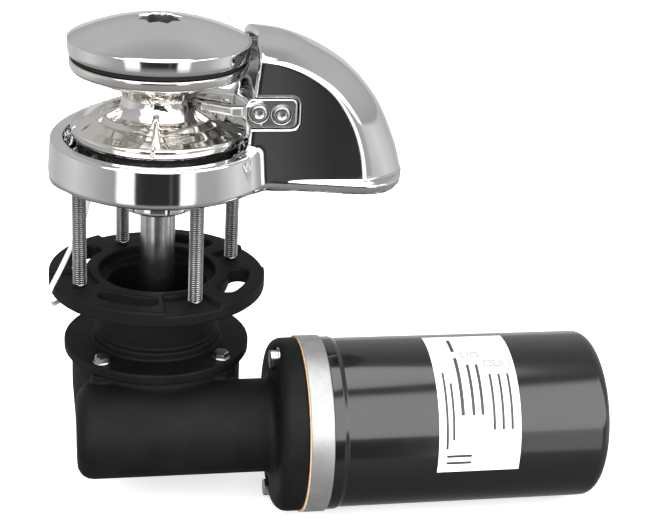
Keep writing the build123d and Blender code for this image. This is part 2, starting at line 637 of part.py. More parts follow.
def make_brush_gear():
    """Insulating plate with four holders, carbon brushes and their coil springs."""
    plate = ring(20.0, 46.0, 207.0, 210.0)
    holder = block(20.0, 42.0, -6.0, 6.0, 209.9, 229.0) - block(19.0, 40.4, -4.2, 4.2, 212.0, 226.0)
    brush = block(14.3, 27.0, -4.0, 4.0, 212.3, 225.7)
    coil = Helix(2.4, 12.0, 2.8)
    wire = sweep(Plane(origin=coil @ 0, z_dir=coil % 0) * Circle(0.45), path=coil, is_frenet=True)
    spring = Pos(27.6, 0, 219.0) * Rot(0, 90, 0) * wire
    for solid in around(holder, 4, BRUSH_AZIMUTHS[0]):
        plate += solid
    plate = on_motor(plate)
    brushes = [on_motor(s) for s in around(brush, 4, BRUSH_AZIMUTHS[0])]
    springs = [on_motor(s) for s in around(spring, 4, BRUSH_AZIMUTHS[0])]
    return plate, brushes, springs


def make_label():
    """Blank rating label wrapped round the front of the motor can."""
    # Turned about Z, azimuth 0 becomes straight down and 90 becomes +Y once on the motor's axis.
    arc = sector(CAN_R, CAN_R + 0.25, LABEL_X[0], LABEL_X[1], 270 - LABEL_ANGLES[1], 270 - LABEL_ANGLES[0])
    return on_motor(arc)


# ---- chain counter sensor and its lead -----------------------------------------------------
# The lead hangs from the sensor, goes over the flange's rim and behind the neck, and down to a coil
# that lies under the gearbox, with the lead's plug on top.
GROUND_Z = AXIS_Z - BELL_R
COIL_X, COIL_Y = 12.0, 45.0
COIL_R = 14.6                  # to the middle of the turns
COIL_HALF = 3.0                # two turns beside each other, and two high
COIL_OUTER_R = COIL_R + CABLE_R
CABLE_ROUTE = [
    (SENSOR_XY[0], SENSOR_XY[1], -3.0),
    (SENSOR_XY[0], SENSOR_XY[1], -20.0),
    (-48.0, -8.5, -39.0),
    (-56.5, -21.5, -51.5),
    (-62.9, -26.7, -62.0),
    (-60.5, -18.0, -73.0),
    (-53.0, 3.0, -76.5),
    (-46.0, 24.0, -80.0),
    (-33.0, 43.0, -86.5),
    (-20.0, 56.5, -100.0),
    (-13.0, 60.0, -122.0),
    (-11.0, 60.5, -148.0),
    (-10.0, 61.0, -172.0),
    (-4.0, 61.0, -184.5),
    (5.0, 61.0, GROUND_Z + CABLE_R + 0.1),
    (COIL_X, COIL_Y + COIL_OUTER_R, GROUND_Z + CABLE_R + 0.1),
]
PLUG_SIZE = (5.6, 13.0, 4.0)


def route_radii(points):
    """Largest tangent arc that the two runs beside each corner allow."""
    radii = []
    for before, here, after in zip(points, points[1:], points[2:]):
        a = Vector(*here) - Vector(*before)
        b = Vector(*after) - Vector(*here)
        half_turn = radians(a.get_angle(b)) / 2
        radii.append(0.45 * min(a.length, b.length) / tan(half_turn))
    return radii


def make_sensor_cable():
    """White sensor lead along its free stretch, and the coil that holds the rest of it."""
    radii = route_radii(CABLE_ROUTE)
    path = FilletPolyline(*CABLE_ROUTE, radius=radii)
    tube = sweep(Plane(origin=path @ 0, z_dir=path % 0) * Circle(CABLE_R), path=path)
    print("cable length %.1f, radii %s" % (path.length, [round(r, 1) for r in radii]))
    print("cable volume %.1f, section times length %.1f" % (tube.volume, pi * CABLE_R ** 2 * path.length))
    coil = ring(COIL_R - COIL_HALF, COIL_R + COIL_HALF, GROUND_Z, GROUND_Z + 2 * COIL_HALF)
    return tube, Pos(COIL_X, COIL_Y, 0) * coil


def make_sensor_plug():
    """Two-pole plug on the lead's end, lying on the coil."""
    across, along, high = PLUG_SIZE
    body = Pos(0, along / 2, high / 2) * fillet(Box(across, along, high).edges(), 0.5)
    place = Pos(COIL_X - COIL_R + CABLE_R, COIL_Y, GROUND_Z + 2 * COIL_HALF)
    return place * body


def make_sensor():
    """Hall sensor body in the base floor, with its cable gland below."""
    body = rod(4.0, 0.0, 14.0, at=SENSOR_XY)
    gland = rod(3.0, -3.0, 0.0, at=SENSOR_XY)
    return body + gland


# ---- bearings ------------------------------------------------------------------------------
SHAFT_BEARING = dict(bore=SHAFT_R, outer=21.0, width=12.0, ball=3.2, count=9)
SMALL_BEARING = dict(bore=MOTOR_SHAFT_R, outer=13.0, width=8.0, ball=2.1, count=8)
SHAFT_BEARING_Z = (1.4, -105.6, -163.0)
SMALL_BEARING_X = (-41.0, 35.0, 85.4, 242.0)


def make_bearings():
    """The main shaft's three bearings, and the worm's and motor's four small ones."""
    nodes = {}
    for prefix, size, spots, place in (("shaft", SHAFT_BEARING, SHAFT_BEARING_Z, Pos(0, 0, 0)),
                                       ("worm_and_motor", SMALL_BEARING, SMALL_BEARING_X, None)):
        sets = [ball_bearing(z_low=z, **size) for z in spots]
        move = on_motor if place is None else (lambda shape: shape)
        nodes[prefix + "_bearing_outer_rings"] = group([move(s[0]) for s in sets])
        nodes[prefix + "_bearing_balls"] = group([move(ball) for s in sets for ball in s[1]])
        nodes[prefix + "_bearing_inner_rings"] = group([move(s[2]) for s in sets])
    return nodes


def main():
    keep("clutch_cap", make_clutch_cap())
    upper_cone, upper_lining = make_upper_clutch()
    keep("upper_clutch_cone", upper_cone)
    keep("upper_clutch_lining", upper_lining)
    keep("gypsy", make_gypsy())
    keep("gypsy_bush", ring(SHAFT_R + RUN_GAP, BUSH_R, 32.0, 54.0))
    keep("gypsy_magnet", rod(MAGNET_R, GYPSY_BOTTOM_Z, GYPSY_BOTTOM_Z + 2.4, at=(-MAGNET_RADIUS, 0)))
    lower_cone, lower_lining = make_lower_clutch()
    keep("lower_clutch_cone", lower_cone)
    keep("lower_clutch_lining", lower_lining)
    keep("main_shaft", make_shaft())
    keep("shaft_keys", make_shaft_keys())
    keep("circlips", group([ring(9.2, 12.0, z, z + 1.2) for z in (13.7, -150.7)]))
    keep("base_casting", make_base_casting())
    keep("base_seal", ring(SHAFT_R + RUN_GAP, 17.0, -20.6, -15.0))
    keep("chain_stripper", make_stripper())
    screws, washers = stripper_fasteners()
    keep("stripper_screws", screws)
    keep("stripper_washers", washers)
    keep("deck_studs", make_deck_studs())
    keep("chain_sensor", make_sensor())
    keep("deck_flange", make_deck_flange())
    keep("flange_screws", make_flange_screws())
    gasket = ring(41.5, HOUSING_R - 0.2, LOWER_FLANGE_BOTTOM_Z - 0.4, LOWER_FLANGE_BOTTOM_Z)
    for hole in around(rod(3.4, -110, -100, at=(FLANGE_SCREW_RADIUS, 0)), 4, FLANGE_SCREW_AZIMUTH):
        gasket -= hole
    keep("flange_gasket", gasket)
    keep("gearbox_shaft_seal", ring(SHAFT_R + RUN_GAP, 16.0, -93.4, -88.4))
    keep("gear_housing", make_gear_housing())
    rim, hub = make_worm_wheel()
    keep("worm_wheel", rim)
    keep("wheel_hub", hub)
    keep("worm_shaft", make_worm_shaft())
    keep("worm_shaft_seal", on_motor(ring(MOTOR_SHAFT_R + RUN_GAP, 13.0, 46.0, 52.0)))
    keep("drive_coupling", on_motor(ring(MOTOR_SHAFT_R, COUPLING_R, 58.0, 82.0)))
    gasket = on_motor(ring(13.0, BELL_R + 0.1, GASKET_X, BELL_X))
    for hole in motor_bolt_holes():
        gasket -= hole
    keep("motor_gasket", gasket)
    keep("motor_end_bell", make_end_bell())
    keep("motor_bolts", group(make_motor_bolts()))
    keep("motor_can", make_motor_can())
    keep("motor_magnets", group(make_magnets()))
    core, windings, commutator, shaft = make_armature()
    keep("armature_core", core)
    keep("armature_windings", windings)
    keep("commutator", commutator)
    keep("armature_shaft", shaft)
    plate, brushes, springs = make_brush_gear()
    keep("brush_plate", plate)
    keep("carbon_brushes", group(brushes))
    keep("brush_springs", group(springs))
    studs, insulators, nuts = make_terminals()
    keep("terminal_studs", group(studs))
    keep("terminal_insulators", group(insulators))
    keep("terminal_nuts", group(nuts))
    keep("motor_label", make_label())
    tube, coil = make_sensor_cable()
    keep("sensor_cable", tube)
    keep("sensor_cable_coil", coil)
    keep("sensor_plug", make_sensor_plug())
    for name, shape in make_bearings().items():
        keep(name, shape)
    os.makedirs("parts", exist_ok=True)
    for name, shape in PARTS.items():
        export_step(shape, "parts/%s.step" % name)


main()
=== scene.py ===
"""Looks of the anchor windlass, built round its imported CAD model. Lengths in this file are in millimetres
unless a name says otherwise, and MM turns them into Blender's metres."""
import json
from math import atan2, cos, degrees, pi, radians, sin, tan

import bmesh
import bpy
import numpy as np
from mathutils import Matrix, Vector


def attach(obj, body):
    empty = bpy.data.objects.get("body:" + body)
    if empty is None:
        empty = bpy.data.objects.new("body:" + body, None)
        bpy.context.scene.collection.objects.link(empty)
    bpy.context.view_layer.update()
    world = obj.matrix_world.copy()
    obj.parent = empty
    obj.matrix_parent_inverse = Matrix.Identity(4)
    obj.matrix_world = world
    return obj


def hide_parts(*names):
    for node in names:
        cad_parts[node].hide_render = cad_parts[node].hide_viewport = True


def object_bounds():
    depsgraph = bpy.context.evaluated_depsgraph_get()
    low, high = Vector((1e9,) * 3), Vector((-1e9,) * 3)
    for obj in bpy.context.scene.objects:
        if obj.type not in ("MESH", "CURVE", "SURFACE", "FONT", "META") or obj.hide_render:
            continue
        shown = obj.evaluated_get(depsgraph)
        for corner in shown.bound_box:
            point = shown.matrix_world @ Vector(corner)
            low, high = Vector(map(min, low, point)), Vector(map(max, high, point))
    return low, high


MM = 0.001
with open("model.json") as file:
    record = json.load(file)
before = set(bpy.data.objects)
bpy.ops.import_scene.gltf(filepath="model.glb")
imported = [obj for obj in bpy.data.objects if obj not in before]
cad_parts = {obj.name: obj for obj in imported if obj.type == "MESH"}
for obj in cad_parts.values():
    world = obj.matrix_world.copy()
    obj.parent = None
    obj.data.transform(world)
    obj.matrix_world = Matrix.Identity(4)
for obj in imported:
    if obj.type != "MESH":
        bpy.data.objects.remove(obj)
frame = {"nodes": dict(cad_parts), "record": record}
cad_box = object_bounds()

MOTOR_Y, MOTOR_Z = -46.0, -138.3      # the worm's and motor's axis, along X
STUD_RADIUS, STUD_AZIMUTH = 47.97, 21.5
FLANGE_SCREW_RADIUS, FLANGE_SCREW_AZIMUTH = 47.5, 46.0
HOOD_HALF_W, HOOD_WALL = 34.5, 5.2
RING_INNER = 52.5
STUD_R, STUD_SINK_R = 4.0, 4.4
SCREW_HOLE_R = 2.5
CAN_R = 49.0
GEARBOX_TOP_Z = -107.1


# ---- camera --------------------------------------------------------------------------------
def make_camera():
    """Long lens, a little above the object and to its left, with a slight roll."""
    aim = Vector((0.0956, -0.0311, -0.0437))
    distance = 0.850
    azimuth, elevation, roll = radians(-11.58), radians(22.93), radians(3.42)
    forward = Vector((-sin(azimuth) * cos(elevation), cos(azimuth) * cos(elevation), -sin(elevation)))
    level = forward.cross(Vector((0, 0, 1))).normalized()
    upright = level.cross(forward)
    right = level * cos(roll) + upright * sin(roll)
    up = upright * cos(roll) - level * sin(roll)
    data = bpy.data.cameras.new("camera")
    data.lens = 81.57
    data.sensor_width = 36.0
    camera = bpy.data.objects.new("camera", data)
    bpy.context.scene.collection.objects.link(camera)
    turn = Matrix((right, up, -forward)).transposed().to_4x4()
    camera.matrix_world = Matrix.Translation(aim - forward * distance) @ turn
    bpy.context.scene.camera = camera


make_camera()


# ---- shader helpers ------------------------------------------------------------------------
class Shader:
    """A material's node tree, with short calls for the nodes that the materials share."""

    materials = {}

    def __init__(self, name, color, metallic=0.0, roughness=0.5, specular=0.5, coat=0.0, coat_roughness=0.05):
        self.material = bpy.data.materials.new(name)
        self.materials[name] = self.material
        self.material.use_nodes = True
        self.tree = self.material.node_tree
        self.bsdf = self.tree.nodes["Principled BSDF"]
        for socket, v in (("Base Color", (*color, 1)), ("Metallic", metallic), ("Roughness", roughness),
                          ("Specular IOR Level", specular), ("Coat Weight", coat),
                          ("Coat Roughness", coat_roughness)):
            self.bsdf.inputs[socket].default_value = v
        self.where = self.tree.nodes.new("ShaderNodeTexCoord").outputs["Object"]

    def node(self, kind, source, target, **settings):
        """New node, fed by one output at its named input."""
        node = self.tree.nodes.new(kind)
        for socket, v in settings.items():
            node.inputs[socket.replace("_", " ")].default_value = v
        self.tree.links.new(source, node.inputs[target])
        return node

    def noise(self, scale, detail=3.0, rough=0.5, stretch=None):
        where = self.where
        if stretch:
            where = self.node("ShaderNodeMapping", where, "Vector", Scale=stretch).outputs["Vector"]
        return self.node("ShaderNodeTexNoise", where, "Vector", Scale=scale, Detail=detail,
                         Roughness=rough).outputs["Fac"]

    def color(self, noise, *colors, at=(0.3, 0.7)):
        """Base colour that runs through the given colours with a noise."""
        node = self.node("ShaderNodeValToRGB", self.noise(*noise), "Fac")
        elements = node.color_ramp.elements
        elements[0].position, elements[1].position = at[0], at[-1]
        elements[0].color, elements[1].color = (*colors[0], 1), (*colors[-1], 1)
        for place, between in zip(at[1:-1], colors[1:-1]):
            elements.new(place).color = (*between, 1)
        self.tree.links.new(node.outputs["Color"], self.bsdf.inputs["Base Color"])

    def rough(self, noise, low, high):
        """Roughness that varies with a noise between two values."""
        node = self.node("ShaderNodeMapRange", self.noise(*noise), "Value", To_Min=low, To_Max=high)
        self.tree.links.new(node.outputs["Result"], self.bsdf.inputs["Roughness"])

    def bump(self, noise, depth_mm, strength=1.0):
        """Relief from a noise, on top of any earlier relief."""
        node = self.node("ShaderNodeBump", self.noise(*noise), "Height", Distance=depth_mm * MM,
                         Strength=strength)
        normal = self.bsdf.inputs["Normal"]
        if normal.is_linked:
            self.tree.links.new(normal.links[0].from_socket, node.inputs["Normal"])
        self.tree.links.new(node.outputs["Normal"], normal)


def grey(v):
    return (v, v, v)


# ---- materials -----------------------------------------------------------------------------
def make_materials():
    """One procedural material for each of the record's slots, and a few for details."""
    s = Shader("polished_steel", (0.80, 0.80, 0.80), metallic=1.0, roughness=0.07)
    s.color((30, 2), (0.76, 0.76, 0.765), (0.84, 0.84, 0.84))
    s.rough((45, 5, 0.6), 0.045, 0.105)
    s.bump((22, 1.5, 0.4), 0.05, 0.35)
    s = Shader("plated_bronze", (0.82, 0.80, 0.77), metallic=1.0, roughness=0.1)
    s.color((40, 2), (0.78, 0.755, 0.72), (0.86, 0.84, 0.81))
    s.rough((70, 5, 0.6), 0.06, 0.14)
    s.bump((75, 2, 0.5), 0.10, 0.4)
    # painted shade: a darker, brownish, rougher steel standing in for the shade inside the star socket's recess
    s = Shader("socket_shade_steel", (0.30, 0.28, 0.26), metallic=1.0, roughness=0.38)
    s.color((60, 4), (0.25, 0.235, 0.22), (0.34, 0.32, 0.30))
    s.rough((160, 4), 0.30, 0.46)
    s = Shader("brushed_steel", (0.62, 0.62, 0.61), metallic=1.0, roughness=0.22)
    s.color((50, 3), (0.57, 0.57, 0.56), (0.67, 0.67, 0.66))
    s.rough((180, 4), 0.17, 0.27)
    s = Shader("thread_shadow", (0.035, 0.034, 0.033), metallic=0.6, roughness=0.6)
    s.rough((300, 3), 0.5, 0.7)
    s = Shader("stainless", (0.60, 0.60, 0.59), metallic=1.0, roughness=0.22)
    s.color((60, 4), (0.50, 0.49, 0.48), (0.66, 0.65, 0.64))
    s.rough((260, 4, 0.6), 0.16, 0.30)
    s.bump((900, 2, 0.5, (0.08, 0.08, 1.0)), 0.02, 0.5)
    s = Shader("bearing_steel", (0.62, 0.62, 0.63), metallic=1.0, roughness=0.15)
    s.rough((200, 3), 0.10, 0.22)
    s = Shader("bronze", (0.70, 0.50, 0.25), metallic=1.0, roughness=0.3)
    s.color((80, 4), (0.60, 0.42, 0.20), (0.76, 0.56, 0.30))
    s.rough((160, 4), 0.22, 0.40)
    s = Shader("copper", (0.70, 0.36, 0.20), metallic=1.0, roughness=0.35)
    s.color((300, 3), (0.55, 0.26, 0.13), (0.78, 0.42, 0.25))
    s.bump((1200, 1, 0.5, (1, 0.1, 0.1)), 0.2, 0.6)
    s = Shader("black_casting", (0.0042, 0.0044, 0.005), roughness=0.56, specular=0.13)
    s.color((55, 4), (0.0030, 0.0032, 0.0036), (0.0056, 0.0058, 0.0064))
    s.rough((120, 4), 0.46, 0.64)
    s.bump((850, 3, 0.6), 0.09, 0.5)
    s.bump((40, 2), 0.25, 0.35)
    s = Shader("black_gloss", (0.0045, 0.0045, 0.005), roughness=0.16, specular=0.5, coat=0.6,
               coat_roughness=0.05)
    s.rough((60, 4), 0.13, 0.24)
    s.bump((420, 3, 0.5), 0.012, 0.5)
    s = Shader("zinc_ring", (0.42, 0.42, 0.425), metallic=0.85, roughness=0.42)
    s.color((70, 8, 0.72), (0.36, 0.355, 0.35), (0.43, 0.43, 0.43), (0.50, 0.50, 0.51), at=(0.30, 0.52, 0.75))
    s.rough((210, 5, 0.6), 0.34, 0.58)
    s.bump((480, 4, 0.6), 0.10, 0.6)
    s = Shader("tan_gasket", (0.50, 0.33, 0.20), roughness=0.85)
    s.color((500, 4, 0.7), (0.36, 0.22, 0.12), (0.60, 0.42, 0.27))
    s.bump((900, 3), 0.1, 0.7)
    s = Shader("friction_lining", (0.006, 0.006, 0.006), roughness=0.6, specular=0.25)
    s.rough((300, 3), 0.5, 0.75)
    s.bump((900, 3), 0.08, 0.6)
    s = Shader("rubber_seal", (0.008, 0.008, 0.008), roughness=0.6, specular=0.3)
    s.rough((200, 3), 0.5, 0.7)
    s.bump((700, 2), 0.05, 0.5)
    s = Shader("white_lead", (0.78, 0.77, 0.74), roughness=0.45)
    s.color((120, 3), (0.72, 0.71, 0.68), (0.82, 0.81, 0.79))
    s.bump((600, 2), 0.03, 0.5)
    s = Shader("black_plastic", (0.012, 0.012, 0.012), roughness=0.45)
    s.rough((200, 3), 0.38, 0.55)
    s.bump((900, 2), 0.04, 0.5)
    s = Shader("phenolic", (0.20, 0.10, 0.05), roughness=0.5)
    s.color((150, 5, 0.6, (1, 0.2, 0.2)), (0.15, 0.07, 0.03), (0.26, 0.14, 0.08))
    s = Shader("carbon", (0.03, 0.03, 0.032), roughness=0.5)
    s.bump((900, 4), 0.05, 0.6)
    s = Shader("ferrite", (0.06, 0.06, 0.065), roughness=0.6)
    s.bump((500, 5), 0.1, 0.6)
    s = Shader("lamination", (0.30, 0.30, 0.31), metallic=1.0, roughness=0.45)
    s.bump((1500, 0, 0.5, (1, 0.01, 0.01)), 0.2, 0.8)
    s = Shader("label", (0.80, 0.80, 0.80), roughness=0.32, specular=0.5)
    s.color((90, 2), (0.77, 0.77, 0.77), (0.83, 0.83, 0.83))
    s.bump((300, 2), 0.015, 0.5)
    s = Shader("label_ink", (0.03, 0.03, 0.032), roughness=0.4)
    s.rough((300, 2), 0.34, 0.5)


make_materials()
SLOT_OF = {row["node"]: row["material_slot"] for row in frame["record"]["subparts"]}
BODY_OF = {node: body for body, nodes in frame["record"]["behaviour"]["bodies"].items() for node in nodes}


def dress(obj, slot, material=None):
    """Give an object the material of one slot, or a named detail material."""
    obj.data.materials.clear()
    obj.data.materials.append(Shader.materials[material or slot])


for node_name, node in frame["nodes"].items():
    dress(node, SLOT_OF[node_name])


def stand_for(obj, *nodes):
    """Make a piece replace CAD nodes of one body, in their material, riding on that body."""
    dress(obj, SLOT_OF[nodes[0]])
    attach(obj, BODY_OF[nodes[0]])
    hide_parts(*nodes)
    return obj


def detail_of(obj, node, material):
    """Make a piece a detail of one CAD node, in a material of its own."""
    dress(obj, SLOT_OF[node], material)
    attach(obj, BODY_OF[node])
    return obj


# ---- lead ----------------------------------------------------------------------------------
CABLE_D = 2.8
ROUTE = [
    (-38.5, -2.0, -3.0),
    (-38.5, -2.0, -20.0),
    (-48.0, -8.5, -39.0),
    (-56.5, -21.5, -51.5),
    (-62.9, -26.7, -62.0),
    (-60.5, -18.0, -73.0),
    (-53.0, 3.0, -76.5),
    (-46.0, 24.0, -80.0),
    (-33.0, 43.0, -86.5),
    (-20.0, 56.5, -100.0),
    (-13.0, 60.0, -122.0),
    (-11.0, 60.5, -148.0),
    (-10.0, 61.0, -172.0),
    (-4.0, 61.0, -184.5),
    (5.0, 61.0, -187.8),
    (12.0, 61.0, -187.8),
]
COIL_CENTRE = (12.0, 45.0)
PLUG_LOW, PLUG_HIGH = (-4.0, 45.0, -183.3), (1.6, 58.0, -179.3)


def make_lead():
    """White sensor lead: out of the base, round under the flange's rim, down to a flat coil on the floor."""
    points = list(ROUTE)
    for k in range(1, 45):
        turns = k / 16
        a = radians(90 - 360 * turns)
        r = np.interp(turns, [0.875, 1.0], [16.0, 13.15])
        z = np.interp(turns, [1.75, 1.875, 2.5, 2.75], [-187.8, -184.95, -184.95, -181.3])
        points.append((COIL_CENTRE[0] + r * cos(a), COIL_CENTRE[1] + r * sin(a), z))
    points.append((-1.2, 45.6, -181.3))
    data = bpy.data.curves.new("sensor_lead", "CURVE")
    data.dimensions = "3D"
    data.bevel_depth = CABLE_D / 2 * MM
    data.bevel_resolution = 6
    data.resolution_u = 12
    data.use_fill_caps = True
    spline = data.splines.new("NURBS")
    spline.points.add(len(points) - 1)
    for point, place in zip(spline.points, points):
        point.co = (*[v * MM for v in place], 1)
    spline.order_u = 3
    spline.use_endpoint_u = True
    lead = bpy.data.objects.new("sensor_lead", data)
    bpy.context.scene.collection.objects.link(lead)
    dress(lead, "white_lead")
    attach(lead, "housing")
    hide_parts("sensor_cable", "sensor_cable_coil")
    return lead


lead = make_lead()


# ---- mesh helpers --------------------------------------------------------------------------
def mesh_object(name, points_mm, faces, sharp_deg=32.0):
    """Object from points in millimetres, smooth except where faces meet at a sharper angle."""
    mesh = bpy.data.meshes.new(name)
    mesh.from_pydata([Vector(p) * MM for p in points_mm], [], faces)
    mesh.validate()
    mesh.shade_smooth()
    mesh.set_sharp_from_angle(angle=radians(sharp_deg))
    obj = bpy.data.objects.new(name, mesh)
    bpy.context.scene.collection.objects.link(obj)
    return obj


def rounded(corners, steps=5):
    """Closed outline from (across, up, radius) corners, with each radius as an arc."""
    outline = []
    count = len(corners)
    for i, (x, y, radius) in enumerate(corners):
        here = Vector((x, y))
        if radius <= 0:
            outline.append((x, y))
            continue
        back = Vector(corners[i - 1][:2]) - here
        ahead = Vector(corners[(i + 1) % count][:2]) - here
        reach = 0.49 * min(back.length, ahead.length)
        back.normalize()
        ahead.normalize()
        half = back.angle(ahead) / 2
        run = min(radius / tan(half), reach)
        centre = here + (back + ahead).normalized() * (run / cos(half))
        start = here + back * run - centre
        end = here + ahead * run - centre
        a0 = atan2(start.y, start.x)
        sweep = (atan2(end.y, end.x) - a0 + pi) % (2 * pi) - pi
        size = start.length
        for k in range(steps + 1):
            a = a0 + sweep * k / steps
            outline.append((centre.x + size * cos(a), centre.y + size * sin(a)))
    return outline


def quarter_spots(radius, azimuth):
    """X, Y and direction of four spots round the shaft."""
    turns = [radians(azimuth + 90 * k) for k in range(4)]
    return [(radius * cos(a), radius * sin(a), a) for a in turns]


def place_upright(r, a, h):
    return (r * cos(a), r * sin(a), h)


def place_motor(r, a, h):
    return (h, MOTOR_Y + r * cos(a), MOTOR_Z + r * sin(a))


def lathe(name, outline, place=place_upright, steps=160, sharp_deg=32.0):
    """Closed outline of (radius, height) turned a full circle."""
    points = [place(r, 2 * pi * k / steps, h) for k in range(steps) for r, h in outline]
    n = len(outline)
    faces = []
    for k in range(steps):
        for i in range(n):
            j = (i + 1) % n
            a, b = k * n, ((k + 1) % steps) * n
            faces.append((a + i, b + i, b + j, a + j))
    if place is place_motor:
        faces = [f[::-1] for f in faces]
    return fix_normals(mesh_object(name, points, faces, sharp_deg))


def fix_normals(obj):
    """Turn every face outwards and drop faces that a zero radius has collapsed."""
    bm = bmesh.new()
    bm.from_mesh(obj.data)
    bmesh.ops.remove_doubles(bm, verts=bm.verts, dist=1e-7)
    bmesh.ops.recalc_face_normals(bm, faces=bm.faces)
    bm.to_mesh(obj.data)
    bm.free()
    return obj


def skin(name, rings, sharp_deg):
    """Solid whose skin runs over rings of equally many points, flat at both ends."""
    steps = len(rings[0])
    faces = [tuple(range(steps)), tuple((len(rings) - 1) * steps + k for k in range(steps))]
    for i in range(len(rings) - 1):
        faces += strip(i * steps, (i + 1) * steps, steps)
    return fix_normals(mesh_object(name, [p for ring in rings for p in ring], faces, sharp_deg))


def strip(low, high, steps):
    """Quads between two closed rings of points that start at the given numbers."""
    return [(low + k, low + (k + 1) % steps, high + (k + 1) % steps, high + k) for k in range(steps)]


def joined(name, parts):
    """Several objects as one."""
    bpy.ops.object.select_all(action="DESELECT")
    for part in parts:
        part.select_set(True)
    bpy.context.view_layer.objects.active = parts[0]
    bpy.ops.object.join()
    parts[0].name = name
    parts[0].data.name = name
    return parts[0]


# ---- distance fields -----------------------------------------------------------------------
# Castings are made as fields: negative inside the metal, with soft unions and cuts that leave the
# fillets and rounded edges of a real casting. A mesh is then drawn where the field is zero.
def soft_min(a, b, k):
    h = np.maximum(k - np.abs(a - b), 0) / k
    return np.minimum(a, b) - h * h * k * 0.25


def soft_max(a, b, k):
    return -soft_min(-a, -b, k)


def outline_distance(outline, x, y):
    """Signed distance from a closed outline, negative inside."""
    best = np.full(np.broadcast(x, y).shape, 1e9, np.float32)
    inside = np.zeros(best.shape, bool)
    for (ax, ay), (bx, by) in zip(outline, outline[1:] + outline[:1]):
        ex, ey = bx - ax, by - ay
        if ex * ex + ey * ey < 1e-12:
            continue
        t = np.clip(((x - ax) * ex + (y - ay) * ey) / (ex * ex + ey * ey), 0, 1)
        best = np.minimum(best, (x - ax - ex * t) ** 2 + (y - ay - ey * t) ** 2)
        if ey:
            inside ^= ((ay <= y) != (by <= y)) & (x < ax + (y - ay) * ex / ey)
    return np.where(inside, -1, 1) * np.sqrt(best)


def round_plate(across, up, half_a, half_u, corner):
    """Signed distance in a plane from a rectangle with round corners."""
    qa, qu = np.abs(across) - half_a + corner, np.abs(up) - half_u + corner
    return np.hypot(np.maximum(qa, 0), np.maximum(qu, 0)) + np.minimum(np.maximum(qa, qu), 0) - corner


class Field:
    """A box of sample points, on which solids are combined."""

    def __init__(self, low, high, cell):
        self.cell = cell
        axes = [np.arange(a - 2 * cell, b + 3 * cell, cell, dtype=np.float32) for a, b in zip(low, high)]
        self.low = [axis[0] for axis in axes]
        self.x, self.y, self.z = np.meshgrid(*axes, indexing="ij", sparse=True)
        self.value = np.full([len(axis) for axis in axes], 1e3, np.float32)

    def turned(self, outline, squeeze=None):
        """Distance from an outline of (radius, height) turned about Z. squeeze maps height by azimuth."""
        radius = np.hypot(self.x, self.y)
        if squeeze is None:
            return self._table(outline, radius[:, :, 0], self.z[0, 0])
        step = 0.5
        height = squeeze(np.arctan2(self.y, self.x), self.z)
        low = float(height.min()) - step
        levels = np.arange(low, float(height.max()) + 2 * step, step, dtype=np.float32)
        radii = np.arange(0, float(radius.max()) + 2 * step, step, dtype=np.float32)
        table = outline_distance(outline, radii[:, None], levels[None, :])
        i, fi = np.divmod(radius / step, 1)
        j, fj = np.divmod((height - low) / step, 1)
        i, j = i.astype(np.int32), j.astype(np.int32)
        lower = table[i, j] * (1 - fi) + table[i + 1, j] * fi
        upper = table[i, j + 1] * (1 - fi) + table[i + 1, j + 1] * fi
        return lower * (1 - fj) + upper * fj

    def turned_motor(self, outline):
        """Distance from an outline turned about the motor's axis, heights being X."""
        radius = np.hypot(self.y - MOTOR_Y, self.z - MOTOR_Z)[0]
        return np.moveaxis(self._table(outline, radius, self.x[:, 0, 0]), 2, 0)

    def _table(self, outline, radius, height):
        step = 0.25
        radii = np.arange(0, float(radius.max()) + 2 * step, step, dtype=np.float32)
        table = outline_distance(outline, radii[:, None], height[None, :]).astype(np.float32)
        i, f = np.divmod(radius / step, 1)
        i = i.astype(np.int32)
        f = f[..., None].astype(np.float32)
        return table[i] * (1 - f) + table[i + 1] * f

    def rod(self, radius, z0, z1, x=0.0, y=0.0):
        """Upright cylinder."""
        side = np.hypot(self.x - x, self.y - y) - radius
        return np.maximum(side, np.maximum(z0 - self.z, self.z - z1))

    def rod_x(self, radius, x0, x1, y, z):
        side = np.hypot(self.y - y, self.z - z) - radius
        return np.maximum(side, np.maximum(x0 - self.x, self.x - x1))

    def rod_y(self, radius, y0, y1, x, z):
        side = np.hypot(self.x - x, self.z - z) - radius
        return np.maximum(side, np.maximum(y0 - self.y, self.y - y1))

    def add(self, shape, k=0.01):
        self.value = soft_min(self.value, shape, k)

    def cut(self, shape, k=0.01):
        self.value = soft_max(self.value, -shape, k)

    def mesh(self, name):
        """Quad mesh of the zero surface, with normals from the field's own slope."""
        points, quads = surface_net(self.value, self.cell)
        slope = [sample(np.gradient(self.value, axis=axis), points) for axis in range(3)]
        normals = np.stack(slope, 1)
        normals /= np.maximum(np.linalg.norm(normals, axis=1, keepdims=True), 1e-9)
        mesh = bpy.data.meshes.new(name)
        places = (points * self.cell + np.array(self.low)) * MM
        mesh.vertices.add(len(places))
        mesh.vertices.foreach_set("co", places.astype(np.float32).ravel())
        mesh.loops.add(len(quads) * 4)
        mesh.loops.foreach_set("vertex_index", quads.astype(np.int32).ravel())
        mesh.polygons.add(len(quads))
        mesh.polygons.foreach_set("loop_start", np.arange(0, len(quads) * 4, 4, dtype=np.int32))
        mesh.update(calc_edges=True)
        mesh.validate()
        mesh.shade_smooth()
        mesh.normals_split_custom_set_from_vertices(normals.tolist())
        obj = bpy.data.objects.new(name, mesh)
        bpy.context.scene.collection.objects.link(obj)
        return obj


